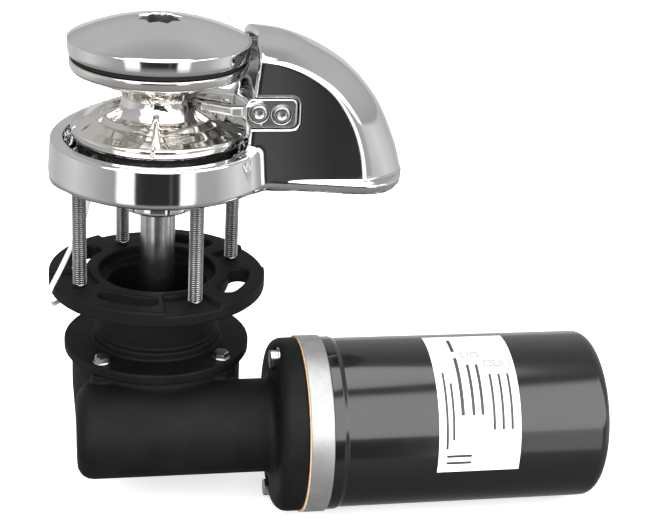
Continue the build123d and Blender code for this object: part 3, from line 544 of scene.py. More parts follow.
def sample(values, points):
    """Values of a grid at points given in cells, blended between its samples."""
    base = np.floor(points).astype(np.int32)
    f = points - base
    total = 0
    for dx in (0, 1):
        for dy in (0, 1):
            for dz in (0, 1):
                weight = (abs(1 - dx - f[:, 0])) * (abs(1 - dy - f[:, 1])) * (abs(1 - dz - f[:, 2]))
                total = total + weight * values[base[:, 0] + dx, base[:, 1] + dy, base[:, 2] + dz]
    return total


def surface_net(value, cell):
    """Points (in cells) and quads where a grid of values changes sign: one point in each mixed cell."""
    inside = value < 0
    corners = sum(
        inside[dx:inside.shape[0] - 1 + dx, dy:inside.shape[1] - 1 + dy,
               dz:inside.shape[2] - 1 + dz].astype(np.int8)
        for dx in (0, 1) for dy in (0, 1) for dz in (0, 1)
    )
    mixed = (corners > 0) & (corners < 8)
    base = np.argwhere(mixed)
    number = np.full(mixed.shape, -1, np.int32)
    number[mixed] = np.arange(len(base))
    total = np.zeros((len(base), 3))
    hits = np.zeros(len(base))
    for axis in range(3):
        for side in ((0, 0), (0, 1), (1, 0), (1, 1)):
            start = np.insert(np.array(side), axis, 0)
            end = start.copy()
            end[axis] = 1
            a = value[tuple((base + start).T)]
            b = value[tuple((base + end).T)]
            crossed = (a < 0) != (b < 0)
            t = np.where(crossed, a / np.where(crossed, a - b, 1), 0)
            place = base + start
            place = place.astype(float)
            place[:, axis] += t
            total += place * crossed[:, None]
            hits += crossed
    points = total / hits[:, None]
    quads = []
    for axis in range(3):
        a = np.take(inside, range(inside.shape[axis] - 1), axis)
        b = np.take(inside, range(1, inside.shape[axis]), axis)
        spots = np.argwhere(a != b)
        u, v = [(1, 2), (2, 0), (0, 1)][axis]
        good = (spots[:, u] > 0) & (spots[:, v] > 0)
        for w in (u, v):
            good &= spots[:, w] < inside.shape[w] - 1
        spots = spots[good]
        ring = []
        for du, dv in ((-1, -1), (0, -1), (0, 0), (-1, 0)):
            cell_at = spots.copy()
            cell_at[:, u] += du
            cell_at[:, v] += dv
            ring.append(number[tuple(cell_at.T)])
        ring = np.stack(ring, 1)
        flip = ~a[tuple(spots.T)]
        ring[flip] = ring[flip][:, ::-1]
        quads.append(ring)
    return points, np.concatenate(quads)


# ---- capstan end ---------------------------------------------------------------------------
SOCKET_HALF, SOCKET_FLOOR, SOCKET_TURN = 8.9, 80.4, 14.0


def star_radius(a):
    """Reach of the eight-point star, which is two equal squares, at one azimuth."""
    swing = (a - radians(SOCKET_TURN)) % (pi / 4)
    return SOCKET_HALF / cos(pi / 4 - min(swing, pi / 4 - swing))


def make_cap():
    """Domed clutch cap with its eight-point star socket."""
    steps = 384

    def dome(r):
        return 89.5 - r * r / 214
    rows = [(8.1, 79.0), (8.1, 69.7), (49.2, 69.7), (49.5, 69.85), (49.62, 70.2), (49.78, 72.0), (49.9, 74.0),
            (50.0, 76.0), (50.0, 77.3), (49.95, 77.6), (49.75, 77.75), (49.5, 77.6), (49.35, 77.7),
            (49.25, 78.05)]
    rows += [(r, dome(r)) for r in np.linspace(49.1, 14.2, 26)]
    rings = [[(r, h)] * steps for r, h in rows]
    reach = [star_radius(radians(SOCKET_TURN) + 2 * pi * k / steps) for k in range(steps)]
    for grow, drop in ((0.75, 0.0), (0.40, 0.06), (0.12, 0.28), (0.0, 0.6)):
        rings.append([(r + grow, dome(r + grow) - drop) for r in reach])
    rings.append([(r, SOCKET_FLOOR + 0.3) for r in reach])
    rings.append([(r - 0.35, SOCKET_FLOOR) for r in reach])
    rings = [[place_upright(r, radians(SOCKET_TURN) + 2 * pi * k / steps, h) for k, (r, h) in enumerate(ring)]
             for ring in rings]
    make_socket_shade(steps)
    stand_for(skin("clutch_cap_dome", rings, 28), "clutch_cap")


def make_socket_shade(steps):
    """Darker, brownish, rougher metal skin over the star socket's walls and floor: painted shade in the recess.
    """
    points = []
    for inset, h in ((0.03, 87.7), (0.03, SOCKET_FLOOR + 0.05), (0.12, SOCKET_FLOOR + 0.14), (0.12, 87.7)):
        for k in range(steps):
            a = radians(SOCKET_TURN) + 2 * pi * k / steps
            points.append(place_upright(star_radius(a) - inset, a, h))
    faces = [tuple(steps + k for k in range(steps)), tuple(2 * steps + k for k in range(steps))]
    for i, other in ((0, 1), (2, 3), (3, 0)):
        faces += strip(i * steps, other * steps, steps)
    lining = fix_normals(mesh_object("star_socket_shade_skin", points, faces, 28))
    detail_of(lining, "clutch_cap", "socket_shade_steel")


GYPSY_RIB, GYPSY_MID = 261.8, 45.1


def make_gypsy():
    """Chain wheel: ribs flaring to both rims, and between them sectors with two concentric seats."""
    field = Field((-49.4, -49.4, 23.5), (49.4, 49.4, 67.0), 0.74)
    outline = rounded([(46.6, 66.9, 0.3), (49.2, 66.9, 0.7), (48.7, 61.4, 1.0), (27.0, 51.4, 6),
                       (21.4, 49.0, 3), (20.6, 46.6, 2), (20.6, 43.6, 2), (21.4, 40.4, 2), (35.0, 34.7, 20),
                       (48.7, 29.3, 0.9), (48.4, 23.6, 0.8), (46.2, 23.6, 0.3), (43.6, 28.2, 1),
                       (33.0, 28.6, 1), (30.0, 31.6, 1), (13.0, 31.9, 0), (13.0, 54.2, 0), (19.2, 54.2, 0.5),
                       (19.2, 58.4, 0.5), (29.0, 59.0, 1), (33.5, 60.3, 1), (43.4, 60.3, 1)])
    field.add(field.turned(outline))
    azimuth = np.arctan2(field.y, field.x) - radians(GYPSY_RIB)
    pitch = 2 * pi / 5
    radius = np.hypot(field.x, field.y)
    rib = ((azimuth + pitch / 2) % pitch) - pitch / 2
    along, across = radius * np.cos(rib), np.abs(radius * np.sin(rib))
    floor = np.interp(radius,
                      [19.8, 20.7, 21.5, 23.5, 26.0, 29.6, 30.5, 31.2, 34.5, 35.5, 36.3, 42.0, 46.2, 47.4],
                      [50.0, 43.5, 39.6, 36.0, 34.4, 33.8, 36.1, 36.1, 32.4, 34.2, 34.2, 30.9, 29.9, 29.7]
                      ).astype(np.float32)
    drop = np.abs(field.z - GYPSY_MID) - (GYPSY_MID - floor)
    edge = np.interp(radius, [20.0, 26.0, 31.0, 37.0, 43.0, 48.0],
                     [1.2, 2.0, 2.8, 4.2, 6.6, 9.6]).astype(np.float32)
    field.cut(soft_max(0.8 * drop, 0.8 * (edge - across), 0.9), 0.3)
    slit = np.maximum(np.maximum(across - 0.5, 45.6 - along), np.maximum(26.4 - field.z, field.z - 40.0))
    field.cut(slit, 0.3)
    return stand_for(field.mesh("gypsy_wheel"), "gypsy")


# ---- base casting --------------------------------------------------------------------------
FACE = [(38.0, 75.6), (52.0, 75.0), (66.0, 72.2), (81.0, 65.4), (94.0, 55.2), (104.4, 39.5), (110.2, 24.0),
        (112.8, 9.0), (113.0, 0.0)]
RIDGE = [(38.0, 82.6), (54.0, 82.4), (71.0, 80.2), (89.0, 73.3), (106.0, 62.6), (121.0, 46.0), (131.6, 24.5),
         (136.6, 9.0), (138.0, 0.0)]
HOOD_X0 = 38.0
STRIPPER_SCREWS = [(50.8, 45.6), (63.2, 44.8)]


def smooth_polar(points):
    """Angle and distance from the hood's foot of a smooth curve through points."""
    curve = []
    before, after = (2 * points[0][0] - points[1][0], points[0][1]), (points[-1][0], -points[-2][1])
    ends = [before, *points, after]
    for p0, p1, p2, p3 in zip(ends, ends[1:], ends[2:], ends[3:]):
        for k in range(12):
            t = k / 12
            w = (-t ** 3 + 2 * t ** 2 - t, 3 * t ** 3 - 5 * t ** 2 + 2, -3 * t ** 3 + 4 * t ** 2 + t,
                 t ** 3 - t ** 2)
            curve.append([0.5 * sum(a * b for a, b in zip(w, values)) for values in zip(p0, p1, p2, p3)])
    curve.append(points[-1])
    curve = np.array(curve)
    angle = np.arctan2(curve[:, 1], curve[:, 0] - HOOD_X0)
    order = np.argsort(angle)
    return angle[order], np.hypot(curve[:, 0] - HOOD_X0, curve[:, 1])[order]


def hood_distance(field, half_w):
    """Distance from the hood's outer skin: flat sides, and a crowned back that bulges to the ridge."""
    x, z = field.x - HOOD_X0, np.maximum(field.z, 0)
    angle = np.arctan2(z, np.maximum(x, 0.01))
    reach = np.hypot(x, z)
    face = np.interp(angle, *smooth_polar(FACE)).astype(np.float32)
    ridge = np.interp(angle, *smooth_polar(RIDGE)).astype(np.float32)
    span = ridge - face
    u = field.y / half_w
    back = ((reach - face) / span - 1 + np.abs(u) ** 3) / np.hypot(1 / span, 3 * u ** 2 / half_w)
    return soft_max(back, np.abs(field.y) - half_w, 1.6)


def back_ramp(azimuth, z):
    """The ring's rear wall rises towards the hood: heights there are squeezed back to the plain ring."""
    a = np.degrees(azimuth)
    rise = np.interp(a, [-40, 0, 20, 38, 60, 100, 117, 141, 165], [0, 10, 15.5, 15.5, 12.5, 7.1, 4.0, 1.2, 0])
    low, plain = 10.0, 12.3
    return np.where(z > low, low + (z - low) * plain / (plain + rise), z).astype(np.float32)


FOOT = [(50.0, -33.0), (62.0, -34.6), (74.0, -35.4), (86.0, -37.4), (99.0, -40.2), (110.0, -41.8),
        (117.0, -41.2), (123.0, -38.6), (129.0, -32.6), (134.0, -24.0), (137.2, -12.0), (138.0, 0.0)]


def make_base_casting():
    """Polished base: ring, hood with its flared foot and stripper recess, hub, boss and stud bosses."""
    field = Field((-61.2, -61.2, -19.2), (138.6, 61.2, 83.2), 0.94)
    ring = rounded([(26.0, 0, 0), (61.0, 0, 2.0), (61.0, 5.0, 5), (59.9, 21.3, 0.5), (59.2, 22.3, 0.4),
                    (52.5, 22.3, 0.9), (52.5, 6.0, 1), (26.0, 6.0, 1)])
    hub = rounded([(12.0, -19.0, 0), (21.0, -19.0, 0.8), (21.0, 0, 1), (27.0, 0, 0), (27.0, 6.0, 0),
                   (26.0, 13.4, 1), (21.0, 13.4, 0.3), (21.0, 1.0, 0), (12.0, 1.0, 0)])
    outer = hood_distance(field, HOOD_HALF_W)
    outer = soft_max(outer, -field.z, 5.0)
    inner = hood_distance(field, HOOD_HALF_W) + HOOD_WALL
    foot = outline_distance(FOOT + [(x, -y) for x, y in FOOT[-2::-1]], field.x, field.y)
    lean = 0.16 * (6.4 - np.clip(field.z, 0, 6.4))
    foot = soft_max(foot + lean, np.maximum(field.z - 6.5, -field.z), 0.9)
    outer = soft_min(outer, foot, 0.7)
    outer = soft_max(outer, -field.z, 1.6)
    shell = soft_max(outer, -inner, 1.5)
    radius = np.hypot(field.x, field.y)
    clear = np.maximum(radius - 53.2, 22.0 - field.z)
    slant = field.x - np.interp(field.z, [23, 28, 38, 75, 90],
                                [45.4, 45.6, 46.4, 50.4, 51.6]).astype(np.float32)
    slant = np.maximum(slant, 22.0 - field.z)
    shell = soft_max(shell, -clear, 1.6)
    shell = soft_max(shell, -slant, 1.6)
    shell = np.maximum(shell, RING_INNER - radius)
    field.add(field.turned(ring, back_ramp))
    field.add(shell, 5.0)
    field.add(field.turned(hub), 1.0)
    for x, y, _ in quarter_spots(STUD_RADIUS, STUD_AZIMUTH):
        field.add(field.rod(7.0, 4.0, 12.0, x, y), 1.5)
        field.cut(field.rod(STUD_R, -5, 12.6, x, y), 0.4)
        field.cut(field.rod(STUD_SINK_R, -5, 0.5, x, y), 0.1)
    field.cut(field.rod(17.0, -25, -15), 0.3)
    field.cut(field.rod(4.0, -5, 30, -38.5, -2.0), 0.3)
    pocket = round_plate(field.x - 58.0, field.z - 45.4, 14.5, 8.8, 4.0)
    field.cut(np.maximum(pocket, field.y + HOOD_HALF_W - 3.4), 0.35)
    for x, z in STRIPPER_SCREWS:
        field.cut(field.rod_y(SCREW_HOLE_R, -40, -24, x, z), 0.2)
    return stand_for(field.mesh("base_ring_and_hood"), "base_casting")


def make_stripper():
    """Stripper plate in the hood's recess, with its finger reaching into the gypsy's waist."""
    field = Field((19, -37, 36), (73, -16, 55), 0.4)
    plate = round_plate(field.x - 58.0, field.z - 45.4, 13.8, 8.1, 3.6)
    plate = soft_max(plate, np.maximum(-34.3 - field.y, field.y + 31.1), 1.0)
    outline = rounded([(50.0, -34.3, 0), (45.0, -34.3, 6), (36.0, -31.6, 6), (20.4, -21.4, 1.2),
                       (22.6, -17.4, 1.2), (38.0, -26.6, 8), (46.0, -31.1, 4), (50.0, -31.1, 0)])
    finger = outline_distance(outline, field.x, field.y)
    thick = np.interp(field.x, [20, 36, 47, 54], [2.4, 2.6, 3.6, 6.0]).astype(np.float32)
    finger = soft_max(finger, np.abs(field.z - 45.6) - thick, 1.2)
    field.add(plate)
    field.add(finger, 3.0)
    for x, z in STRIPPER_SCREWS:
        field.cut(field.rod_y(5.3, -40, -32.1, x, z), 0.3)
        field.cut(field.rod_y(SCREW_HOLE_R, -40, -20, x, z), 0.1)
    arm = stand_for(field.mesh("chain_stripper_arm"), "chain_stripper")
    dress(arm, "polished_steel", "brushed_steel")
    return arm


def bolt_head(name, flat_half, height, washer_r, washer_h, shank_r, shank_len, place):
    """Hexagon screw: flat washer face, chamfered head, plain shank below. Heights count from the seat."""
    steps, corner_cut = 48, 0.5
    turns = [2 * pi * k / steps for k in range(steps)]
    below = [(shank_r, -shank_len), (shank_r, 0), (washer_r - 0.3, 0), (washer_r, 0.3),
             (washer_r, washer_h - 0.2), (washer_r - 0.2, washer_h)]
    rings = [[place(r, a, h) for a in turns] for r, h in below]
    top = washer_h + height
    for h, shrink in ((washer_h, 0), (top - corner_cut, 0), (top, corner_cut * 1.6), (top, flat_half * 0.4)):
        reach = [min(flat_half / cos(off_flat(a)), flat_half * 1.11) - shrink for a in turns]
        rings.append([place(r, a, h) for r, a in zip(reach, turns)])
    return skin(name, rings, 25)


def off_flat(a):
    """Angle from the middle of the nearest of a hexagon's flats."""
    return (a + pi / 6) % (pi / 3) - pi / 6


def make_stripper_screws():
    """Two socket-head screws on washers."""
    parts = []
    for x, z in STRIPPER_SCREWS:
        def place(r, a, h, x=x, z=z):
            return (x + r * cos(a), -34.3 - h, z + r * sin(a))
        rows = [(2.45, -6.5), (2.45, -1.3), (4.3, -1.3), (4.4, -1.2), (4.4, 0.7), (4.25, 1.05), (3.9, 1.2),
                (2.75, 1.2)]
        steps = 72
        turns = [2 * pi * k / steps for k in range(steps)]
        rings = [[place(r, a, h) for a in turns] for r, h in rows]
        for size, h in ((2.3, 0.85), (2.3, -0.35), (1.6, -0.5)):
            rings.append([place(size * cos(pi / 6) / cos(off_flat(a)), a, h) for a in turns])
        parts.append(skin("head", rings, 25))
    return stand_for(joined("stripper_screw_heads", parts), "stripper_screws")


# ---- threaded studs, shaft, seals ----------------------------------------------------------
def threaded_rod(name, radius, pitch, low, high, place, segments=40, chamfer=1.0):
    """Rod with a real single-start thread between two heights."""
    per_turn = 8
    depth = 0.61 * pitch
    rows = int((high - low) / pitch * per_turn)
    points = []
    for i in range(rows + 1):
        h = low + (high - low) * i / rows
        for k in range(segments):
            a = 2 * pi * k / segments
            phase = ((h / pitch) - a / (2 * pi)) % 1.0
            crest = min(1.0, max(0.0, 1.35 - abs(phase - 0.5) * 3.4))
            r = radius - depth * (1 - crest)
            edge = min(h - low, high - h)
            r = min(r, radius - depth - 0.2 + edge) if edge < chamfer else r
            points.append(place(r, a, h))
    points += [place(0, 0, low), place(0, 0, high)]
    faces = []
    for i in range(rows):
        faces += strip(i * segments, (i + 1) * segments, segments)
    last = rows * segments
    for k in range(segments):
        j = (k + 1) % segments
        faces.append((len(points) - 2, j, k))
        faces.append((len(points) - 1, last + k, last + j))
    return fix_normals(mesh_object(name, points, faces, 50))


def make_studs():
    """Four M8 studs with cut threads."""
    parts, cores = [], []
    for x, y, _ in quarter_spots(STUD_RADIUS, STUD_AZIMUTH):
        def place(r, b, h, x=x, y=y):
            return (x + r * cos(b), y + r * sin(b), h)
        parts.append(threaded_rod("stud", STUD_R, 1.25, -59.6, 11.5, place))
        cores.append(lathe("core", [(0, -58.4), (3.42, -58.4), (3.42, 3.0), (0, 3.0)], place, 32))
    detail_of(joined("stud_thread_roots", cores), "deck_studs", "thread_shadow")
    return stand_for(joined("deck_stud_threads", parts), "deck_studs")


def make_shaft():
    """Turned main shaft."""
    outline = rounded([(0, -164, 0), (10, -164, 0.8), (10, 69.4, 0.4), (8, 69.4, 0), (8, 77.4, 0.8),
                       (0, 77.4, 0)])
    return stand_for(lathe("main_shaft_turned", outline), "main_shaft")


def make_linings():
    """Black friction ring above the gypsy, and the boss's seal."""
    upper = rounded([(41.4, 61.4, 0.2), (43.2, 61.4, 0.2), (45.9, 67.2, 0.2), (48.5, 67.2, 0.4),
                     (48.5, 69.4, 0.4), (44.2, 69.4, 0), (44.2, 67.4, 0)])
    stand_for(lathe("upper_lining_ring", upper), "upper_clutch_lining")
    seal = rounded([(10.06, -20.6, 0.2), (17.0, -20.6, 0.8), (17.0, -15.0, 0), (10.06, -15.0, 0)])
    stand_for(lathe("boss_seal_ring", seal), "base_seal")


# ---- under-deck flange ---------------------------------------------------------------------
def make_deck_flange():
    """Black flange: raised sectors with kidney slots, stud pads, neck and lower flange."""
    field = Field((-62.2, -62.2, -107.0), (62.2, 62.2, -58.0), 0.8)
    outline = rounded([(33.4, -58.2, 0.6), (61.9, -58.2, 0.9), (61.9, -67.3, 0.9), (35.9, -67.3, 1.5),
                       (33.9, -70.0, 2), (33.9, -94.8, 1), (36.6, -95.6, 0.8), (36.6, -100.6, 1.2),
                       (53.6, -100.6, 0.8), (53.6, -106.7, 0.6), (21.0, -106.7, 0), (21.0, -93.5, 0),
                       (16.0, -93.5, 0), (16.0, -88.0, 0.5), (27.5, -88.0, 1.5), (28.5, -66.0, 1),
                       (33.4, -64.2, 1)])
    field.add(field.turned(outline))
    azimuth = np.arctan2(field.y, field.x)
    radius = np.hypot(field.x, field.y)
    quarter = pi / 2
    a = azimuth % quarter
    pad_edge = np.minimum(a, radians(30.5) - a) * radius
    pad_edge = np.where(a > radians(60), (a - quarter) * radius, pad_edge)
    pad = np.maximum(-pad_edge, np.maximum(38.6 - radius, -60.4 - field.z))
    field.cut(pad, 0.9)
    mid, half = 47.1, 5.9
    inset = half / mid
    low, high = radians(44) + inset, radians(86.5) - inset
    near = np.clip(a, low, high)
    slot = np.hypot(radius * np.cos(a - near) - mid, radius * np.sin(a - near)) - half
    slot = np.where((a >= low) & (a <= high), np.abs(radius - mid) - half, slot)
    field.cut(np.maximum(slot, -68.5 - field.z), 0.9)
    for x, y, _ in quarter_spots(FLANGE_SCREW_RADIUS, FLANGE_SCREW_AZIMUTH):
        field.cut(field.rod(SCREW_HOLE_R, -110, -95, x, y), 0.2)
    return stand_for(field.mesh("deck_flange_casting"), "deck_flange")


def make_flange_screws():
    """Four hexagon screws on the lower flange."""
    parts = []
    for x, y, b in quarter_spots(FLANGE_SCREW_RADIUS, FLANGE_SCREW_AZIMUTH):
        def place(r, a, h, x=x, y=y, b=b):
            return (x + r * cos(a + b), y + r * sin(a + b), -100.6 + h)
        parts.append(bolt_head("screw", 4.0, 3.4, 5.2, 0.6, 2.45, 18.0, place))
    return stand_for(joined("flange_screw_heads", parts), "flange_screws")


# ---- gearbox -------------------------------------------------------------------------------
def make_gear_housing():
    """Gearbox casting with soft fillets between wheel housing, worm tube, lugs and motor flange."""
    field = Field((-49.8, -96.6, -188.8), (77.8, 53.8, -88.0), 1.0)
    wheel = rounded([(0, -172, 0), (46.6, -172, 7), (49.2, -130, 10), (49.2, GEARBOX_TOP_Z, 0.5), (0, GEARBOX_TOP_Z, 0)])
    tube = rounded([(0, -48.0, 0), (26.9, -48.0, 9), (26.9, 62.0, 4), (50.0, 62.6, 8), (50.0, 77.4, 0.5),
                    (0, 77.4, 0)])
    field.add(field.turned(wheel))
    field.add(field.turned_motor(tube), 4.0)
    for x, y, _ in quarter_spots(47.0, FLANGE_SCREW_AZIMUTH):
        lug = field.rod(6.6, -121.5, GEARBOX_TOP_Z, x, y)
        lug = np.maximum(lug, np.hypot(field.x, field.y) - 53.6)
        field.add(lug, 2.0)
    field.value = np.where(field.x < 54, np.maximum(field.value, field.z - GEARBOX_TOP_Z), field.value)
    field.cut(field.rod(41.0, -150.0, -100.0), 0.6)
    field.cut(field.rod(21.0, -164.3, -149.0), 0.3)
    field.cut(field.rod_x(13.0, -43.0, 80.0, MOTOR_Y, MOTOR_Z), 0.3)
    for x, y, _ in quarter_spots(FLANGE_SCREW_RADIUS, FLANGE_SCREW_AZIMUTH):
        field.cut(field.rod(SCREW_HOLE_R, -119.5, -100, x, y), 0.2)
    for y, z in motor_bolt_spots():
        field.cut(field.rod_x(7.0, 50.0, 65.6, y, z), 0.6)
        field.cut(field.rod_x(3.0, 50.0, 90.0, y, z), 0.2)
    return stand_for(field.mesh("gear_housing_casting"), "gear_housing")


def motor_bolt_spots():
    """Y and Z of the two motor bolts."""
    return [(MOTOR_Y - 43.0 * cos(radians(t)), MOTOR_Z + 43.0 * sin(radians(t))) for t in (88.0, 268.0)]


def make_motor_bolts():
    """Two hexagon bolts through the motor flange."""
    parts = []
    for y, z in motor_bolt_spots():
        def place(r, a, h, y=y, z=z):
            return (65.6 - h, y + r * cos(a), z + r * sin(a))
        parts.append(bolt_head("bolt", 4.85, 4.4, 6.4, 1.2, 2.95, 24.0, place))
    return stand_for(joined("motor_bolt_heads", parts), "motor_bolts")


# ---- motor ---------------------------------------------------------------------------------
def make_motor():
    """Gasket, cast ring, can and their edges, turned about the motor's axis."""
    gasket = rounded([(13.0, 77.4, 0), (51.1, 77.4, 0.1), (51.1, 78.0, 0.1), (13.0, 78.0, 0)])
    gasket = lathe("motor_gasket_paper", gasket, place_motor)
    stand_for(gasket, "motor_gasket")
    bell = rounded([(9.6, 78.0, 0), (51.0, 78.0, 0.7), (51.0, 91.2, 0.7), (36.0, 91.2, 0.5), (36.0, 84.5, 1),
                    (17.0, 84.5, 1), (17.0, 93.4, 0.5), (13.0, 93.4, 0.3), (13.0, 85.4, 0), (9.6, 85.4, 0)])
    stand_for(lathe("motor_end_ring", bell, place_motor, 200), "motor_end_bell")
    can = rounded([(46.5, 91.2, 0), (50.0, 91.2, 0.6), (50.0, 97.2, 1.6), (CAN_R, 99.4, 2.0), (CAN_R, 252.8, 7),
                   (0, 252.8, 0), (0, 250.2, 0), (13.0, 250.2, 0), (13.0, 241.9, 0.3), (17.0, 241.9, 0.3),
                   (17.0, 250.2, 1), (46.5, 250.2, 4)], 8)
    stand_for(lathe("motor_can_shell", can, place_motor, 224), "motor_can")


LABEL_X, LABEL_ANGLES = (150.5, 198.0), (-9.0, 100.0)


def label_patch(x0, x1, a0, a1, lift0, lift1):
    """Thin curved plate on the can, between two X positions and two angles up from straight ahead."""
    steps = max(2, int(abs(a1 - a0) / 3))
    points = []
    for k in range(steps + 1):
        a = radians(a0 + (a1 - a0) * k / steps)
        for x, r in ((x0, CAN_R + lift0), (x1, CAN_R + lift0), (x1, CAN_R + lift1), (x0, CAN_R + lift1)):
            points.append((x, MOTOR_Y - r * cos(a), MOTOR_Z + r * sin(a)))
    faces = [(3, 2, 1, 0), tuple(4 * steps + i for i in range(4))]
    for k in range(steps):
        faces += strip(4 * k, 4 * k + 4, 4)
    return points, faces


def patches(name, rows, lift0, lift1):
    """Many label patches as one object."""
    points, faces = [], []
    for x0, x1, a0, a1 in rows:
        p, f = label_patch(x0, x1, a0, a1, lift0, lift1)
        faces += [tuple(i + len(points) for i in face) for face in f]
        points += p
    return fix_normals(mesh_object(name, points, faces, 20))


def make_label():
    """Blank rating label with generic rules, bars and tick boxes in place of any words."""
    plate = patches("motor_label_film", [(*LABEL_X, *LABEL_ANGLES)], 0.0, 0.22)
    stand_for(plate, "motor_label")
    rows = []
    for x, a0, a1, width in ((154.5, 8, 60, 1.4), (158.2, 14, 52, 1.4), (163.3, 30, 72, 2.1),
                             (163.3, 78, 93, 2.1)):
        rows.append((x, x + width, a0, a1))
    for x in (169.7, 174.9):
        rows.append((x, x + 1.8, 30, 66))
    for x in (181.7, 186.9, 192.1):
        rows.append((x, x + 1.5, 20, 58))
    for x, a in ((168.5, 72), (174.1, 72), (180.6, 64), (186.0, 64), (191.4, 64)):
        rows += tick_box(x, a)
    for a in (-3, 2):
        rows.append((155.3, 169.7, a, a + 1.8))
    detail_of(patches("motor_label_marks", rows, 0.2, 0.26), "motor_label", "label_ink")


def tick_box(x, a):
    """Four thin bars round a square of about 4.5 mm."""
    side, line = 4.4, 0.5
    turn = degrees(side / (CAN_R + 0.2))
    thin = degrees(line / (CAN_R + 0.2))
    return [(x, x + side, a, a + thin), (x, x + side, a + turn - thin, a + turn),
            (x, x + line, a, a + turn), (x + side - line, x + side, a, a + turn)]


# ---- plug ----------------------------------------------------------------------------------
def make_plug():
    """Small two-pole plug: moulded body with grip ribs, a latch and a collar round the lead."""
    field = Field(PLUG_LOW, PLUG_HIGH, 0.16)
    mid = [(a + b) / 2 for a, b in zip(PLUG_LOW, PLUG_HIGH)]

    def block(half, at, corner):
        q = [np.abs(v - c) - h + corner for v, c, h in zip((field.x, field.y, field.z), at, half)]
        outside = np.sqrt(sum(np.maximum(v, 0) ** 2 for v in q))
        return outside + np.minimum(np.maximum(np.maximum(q[0], q[1]), q[2]), 0) - corner
    field.add(block((2.8, 4.6, 2.0), (mid[0], 53.4, mid[2]), 0.5))
    field.add(block((2.1, 3.0, 1.75), (mid[0], 48.0, mid[2]), 0.7), 0.6)
    for k in range(4):
        field.cut(block((3.4, 0.3, 2.4), (mid[0], 50.2 + 1.1 * k, mid[2] + 3.9), 0.1), 0.2)
        for side in (-1, 1):
            field.cut(block((0.5, 0.3, 3.0), (mid[0] + side * 3.0, 50.2 + 1.1 * k, mid[2]), 0.1), 0.2)
    field.cut(block((2.1, 3.0, 1.3), (mid[0], 59.0, mid[2]), 0.3), 0.1)
    for side in (-1, 1):
        field.add(block((0.55, 1.6, 0.35), (mid[0] + 1.0 * side, 56.2, mid[2]), 0.1), 0.1)
    return stand_for(field.mesh("sensor_plug_body"), "sensor_plug")


# ---- stage ---------------------------------------------------------------------------------
def make_stage():
    """Pale floor at the object's lowest point, soft lamps and a studio-like surround."""
    scene = bpy.context.scene
    scene.view_settings.view_transform = "Standard"
    scene.view_settings.look = "None"
    size = 6.0
    mesh = bpy.data.meshes.new("floor")
    z = cad_box[0][2] - 0.0002
    mesh.from_pydata([(-size, -size, z), (size, -size, z), (size, size, z), (-size, size, z)], [],
                     [(0, 1, 2, 3)])
    floor = bpy.data.objects.new("floor", mesh)
    scene.collection.objects.link(floor)
    s = Shader("floor_paper", (0.90, 0.90, 0.90), roughness=0.9, specular=0.1)
    s.bsdf.inputs["Emission Color"].default_value = (1, 1, 1, 1)
    s.bsdf.inputs["Emission Strength"].default_value = 0.55
    mesh.materials.append(s.material)
    floor.visible_glossy = False
    for name, place, size_x, size_y, power in (
        ("lamp_left", (-0.9, -0.5, 0.9), 0.7, 0.9, 5.0),
        ("lamp_right", (1.1, -0.5, 0.8), 0.6, 0.9, 3.0),
        ("lamp_top", (0.1, 0.2, 1.4), 1.4, 1.0, 9.0),
    ):
        data = bpy.data.lights.new(name, "AREA")
        data.shape = "RECTANGLE"
        data.size, data.size_y = size_x, size_y
        data.energy = power
        lamp = bpy.data.objects.new(name, data)
        lamp.location = place
        lamp.visible_glossy = False
        beam = Vector((0.05, -0.02, -0.05)) - Vector(place)
        lamp.rotation_euler = beam.to_track_quat("-Z", "Y").to_euler()
        scene.collection.objects.link(lamp)
    make_surround()


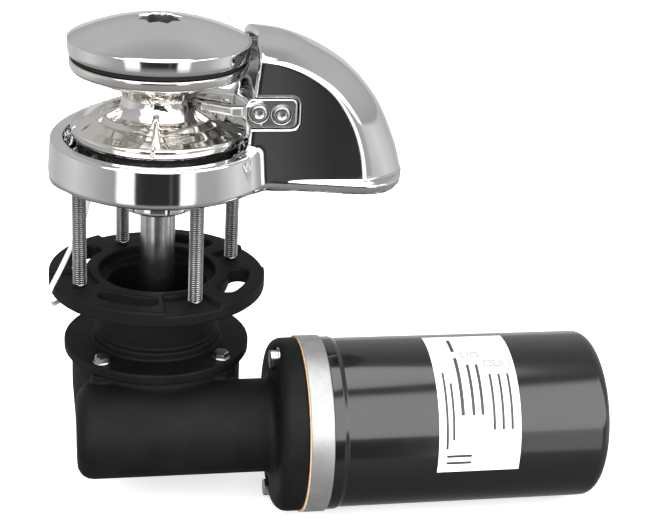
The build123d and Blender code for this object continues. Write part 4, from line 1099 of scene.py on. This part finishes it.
def make_surround():
    """World: light grey round and above, a dark opening in front with a white panel at each side."""
    world = bpy.data.worlds.new("studio")
    bpy.context.scene.world = world
    world.use_nodes = True
    tree = world.node_tree
    back = tree.nodes["Background"]
    coord = tree.nodes.new("ShaderNodeTexCoord")
    split = tree.nodes.new("ShaderNodeSeparateXYZ")
    tree.links.new(coord.outputs["Generated"], split.inputs["Vector"])

    def math(kind, a, b):
        node = tree.nodes.new("ShaderNodeMath")
        node.operation = kind
        tree.links.new(a, node.inputs[0])
        if isinstance(b, float):
            node.inputs[1].default_value = b
        else:
            tree.links.new(b, node.inputs[1])
        return node.outputs["Value"]

    azimuth = math("ARCTAN2", split.outputs["Y"], split.outputs["X"])
    front = math("ADD", math("MULTIPLY", azimuth, 180 / pi), 94.4)
    front = math("SUBTRACT", math("MODULO", math("ADD", front, 540.0), 360.0), 180.0)
    around = unit_range(tree, front, 180)
    low = ramp(tree, around, [
        (-180, 0.70), (-130, 0.55), (-95, 0.75), (-60, 0.45), (-45, 0.40), (-41, 1.5), (-25, 1.5),
        (-23, 0.055), (-12, 0.03), (11, 0.03), (12.6, 0.10), (13.8, 0.08), (15.4, 0.03), (21.5, 0.03),
        (23.5, 1.5), (36, 1.5), (40, 0.42), (60, 0.45), (90, 0.8), (130, 0.55), (180, 0.70)])
    rise = unit_range(tree, split.outputs["Z"], 1)

    def level(z):
        return 180 * z
    high = ramp(tree, rise, [(-180, 0.5), (level(0.05), 0.40), (level(0.35), 0.52), (level(0.7), 0.55),
                             (level(0.925), 0.35), (level(0.94), 3.4), (180, 3.4)])
    key = ramp(tree, rise, [(-180, 3.2), (level(0.84), 3.2), (level(0.885), 0.12), (level(0.925), 0.12),
                            (level(0.94), 3.4), (180, 3.4)])
    ahead = ramp(tree, around,
                 [(-180, 0.0), (-62, 0.0), (-55, 1.0), (72, 1.0), (80, 0.0), (180, 0.0)])
    above = ramp(tree, rise, [(-180, 0.0), (level(0.06), 0.0), (level(0.10), 1.0), (180, 1.0)])
    below = ramp(tree, rise, [(-180, 1.0), (level(-0.42), 1.0), (level(-0.355), 0.0), (180, 0.0)])
    upper = blend(tree, ahead, high, key)
    under = ramp(tree, rise, [(-180, 0.10), (level(-0.75), 0.22), (level(-0.42), 0.36), (180, 0.36)])
    lower = blend(tree, below, low, under)
    tree.links.new(blend(tree, above, lower, upper), back.inputs["Color"])
    back.inputs["Strength"].default_value = 1.0


def unit_range(tree, value, reach):
    """A value between -reach and reach, mapped to 0 to 1."""
    node = tree.nodes.new("ShaderNodeMapRange")
    node.inputs["From Min"].default_value = -reach
    node.inputs["From Max"].default_value = reach
    tree.links.new(value, node.inputs["Value"])
    return node.outputs["Result"]


def blend(tree, share, a, b):
    """Colour a where share is 0, and b where it is 1."""
    mix = tree.nodes.new("ShaderNodeMix")
    mix.data_type = "RGBA"
    tree.links.new(share, mix.inputs["Factor"])
    tree.links.new(a, mix.inputs["A"])
    tree.links.new(b, mix.inputs["B"])
    return mix.outputs["Result"]


def ramp(tree, value, stops):
    """Grey ramp over a -180 to 180 range that has been mapped to 0 to 1."""
    node = tree.nodes.new("ShaderNodeValToRGB")
    elements = node.color_ramp.elements
    elements[0].position = (stops[0][0] + 180) / 360
    elements[0].color = (*grey(stops[0][1]), 1)
    elements[1].position = (stops[-1][0] + 180) / 360
    elements[1].color = (*grey(stops[-1][1]), 1)
    for place, v in stops[1:-1]:
        elements.new((place + 180) / 360).color = (*grey(v), 1)
    tree.links.new(value, node.inputs["Fac"])
    return node.outputs["Color"]


make_cap()
make_gypsy()
make_base_casting()
make_stripper()
make_stripper_screws()
make_studs()
make_shaft()
make_linings()
make_deck_flange()
make_flange_screws()
make_gear_housing()
make_motor_bolts()
make_motor()
make_label()
make_plug()
make_stage()
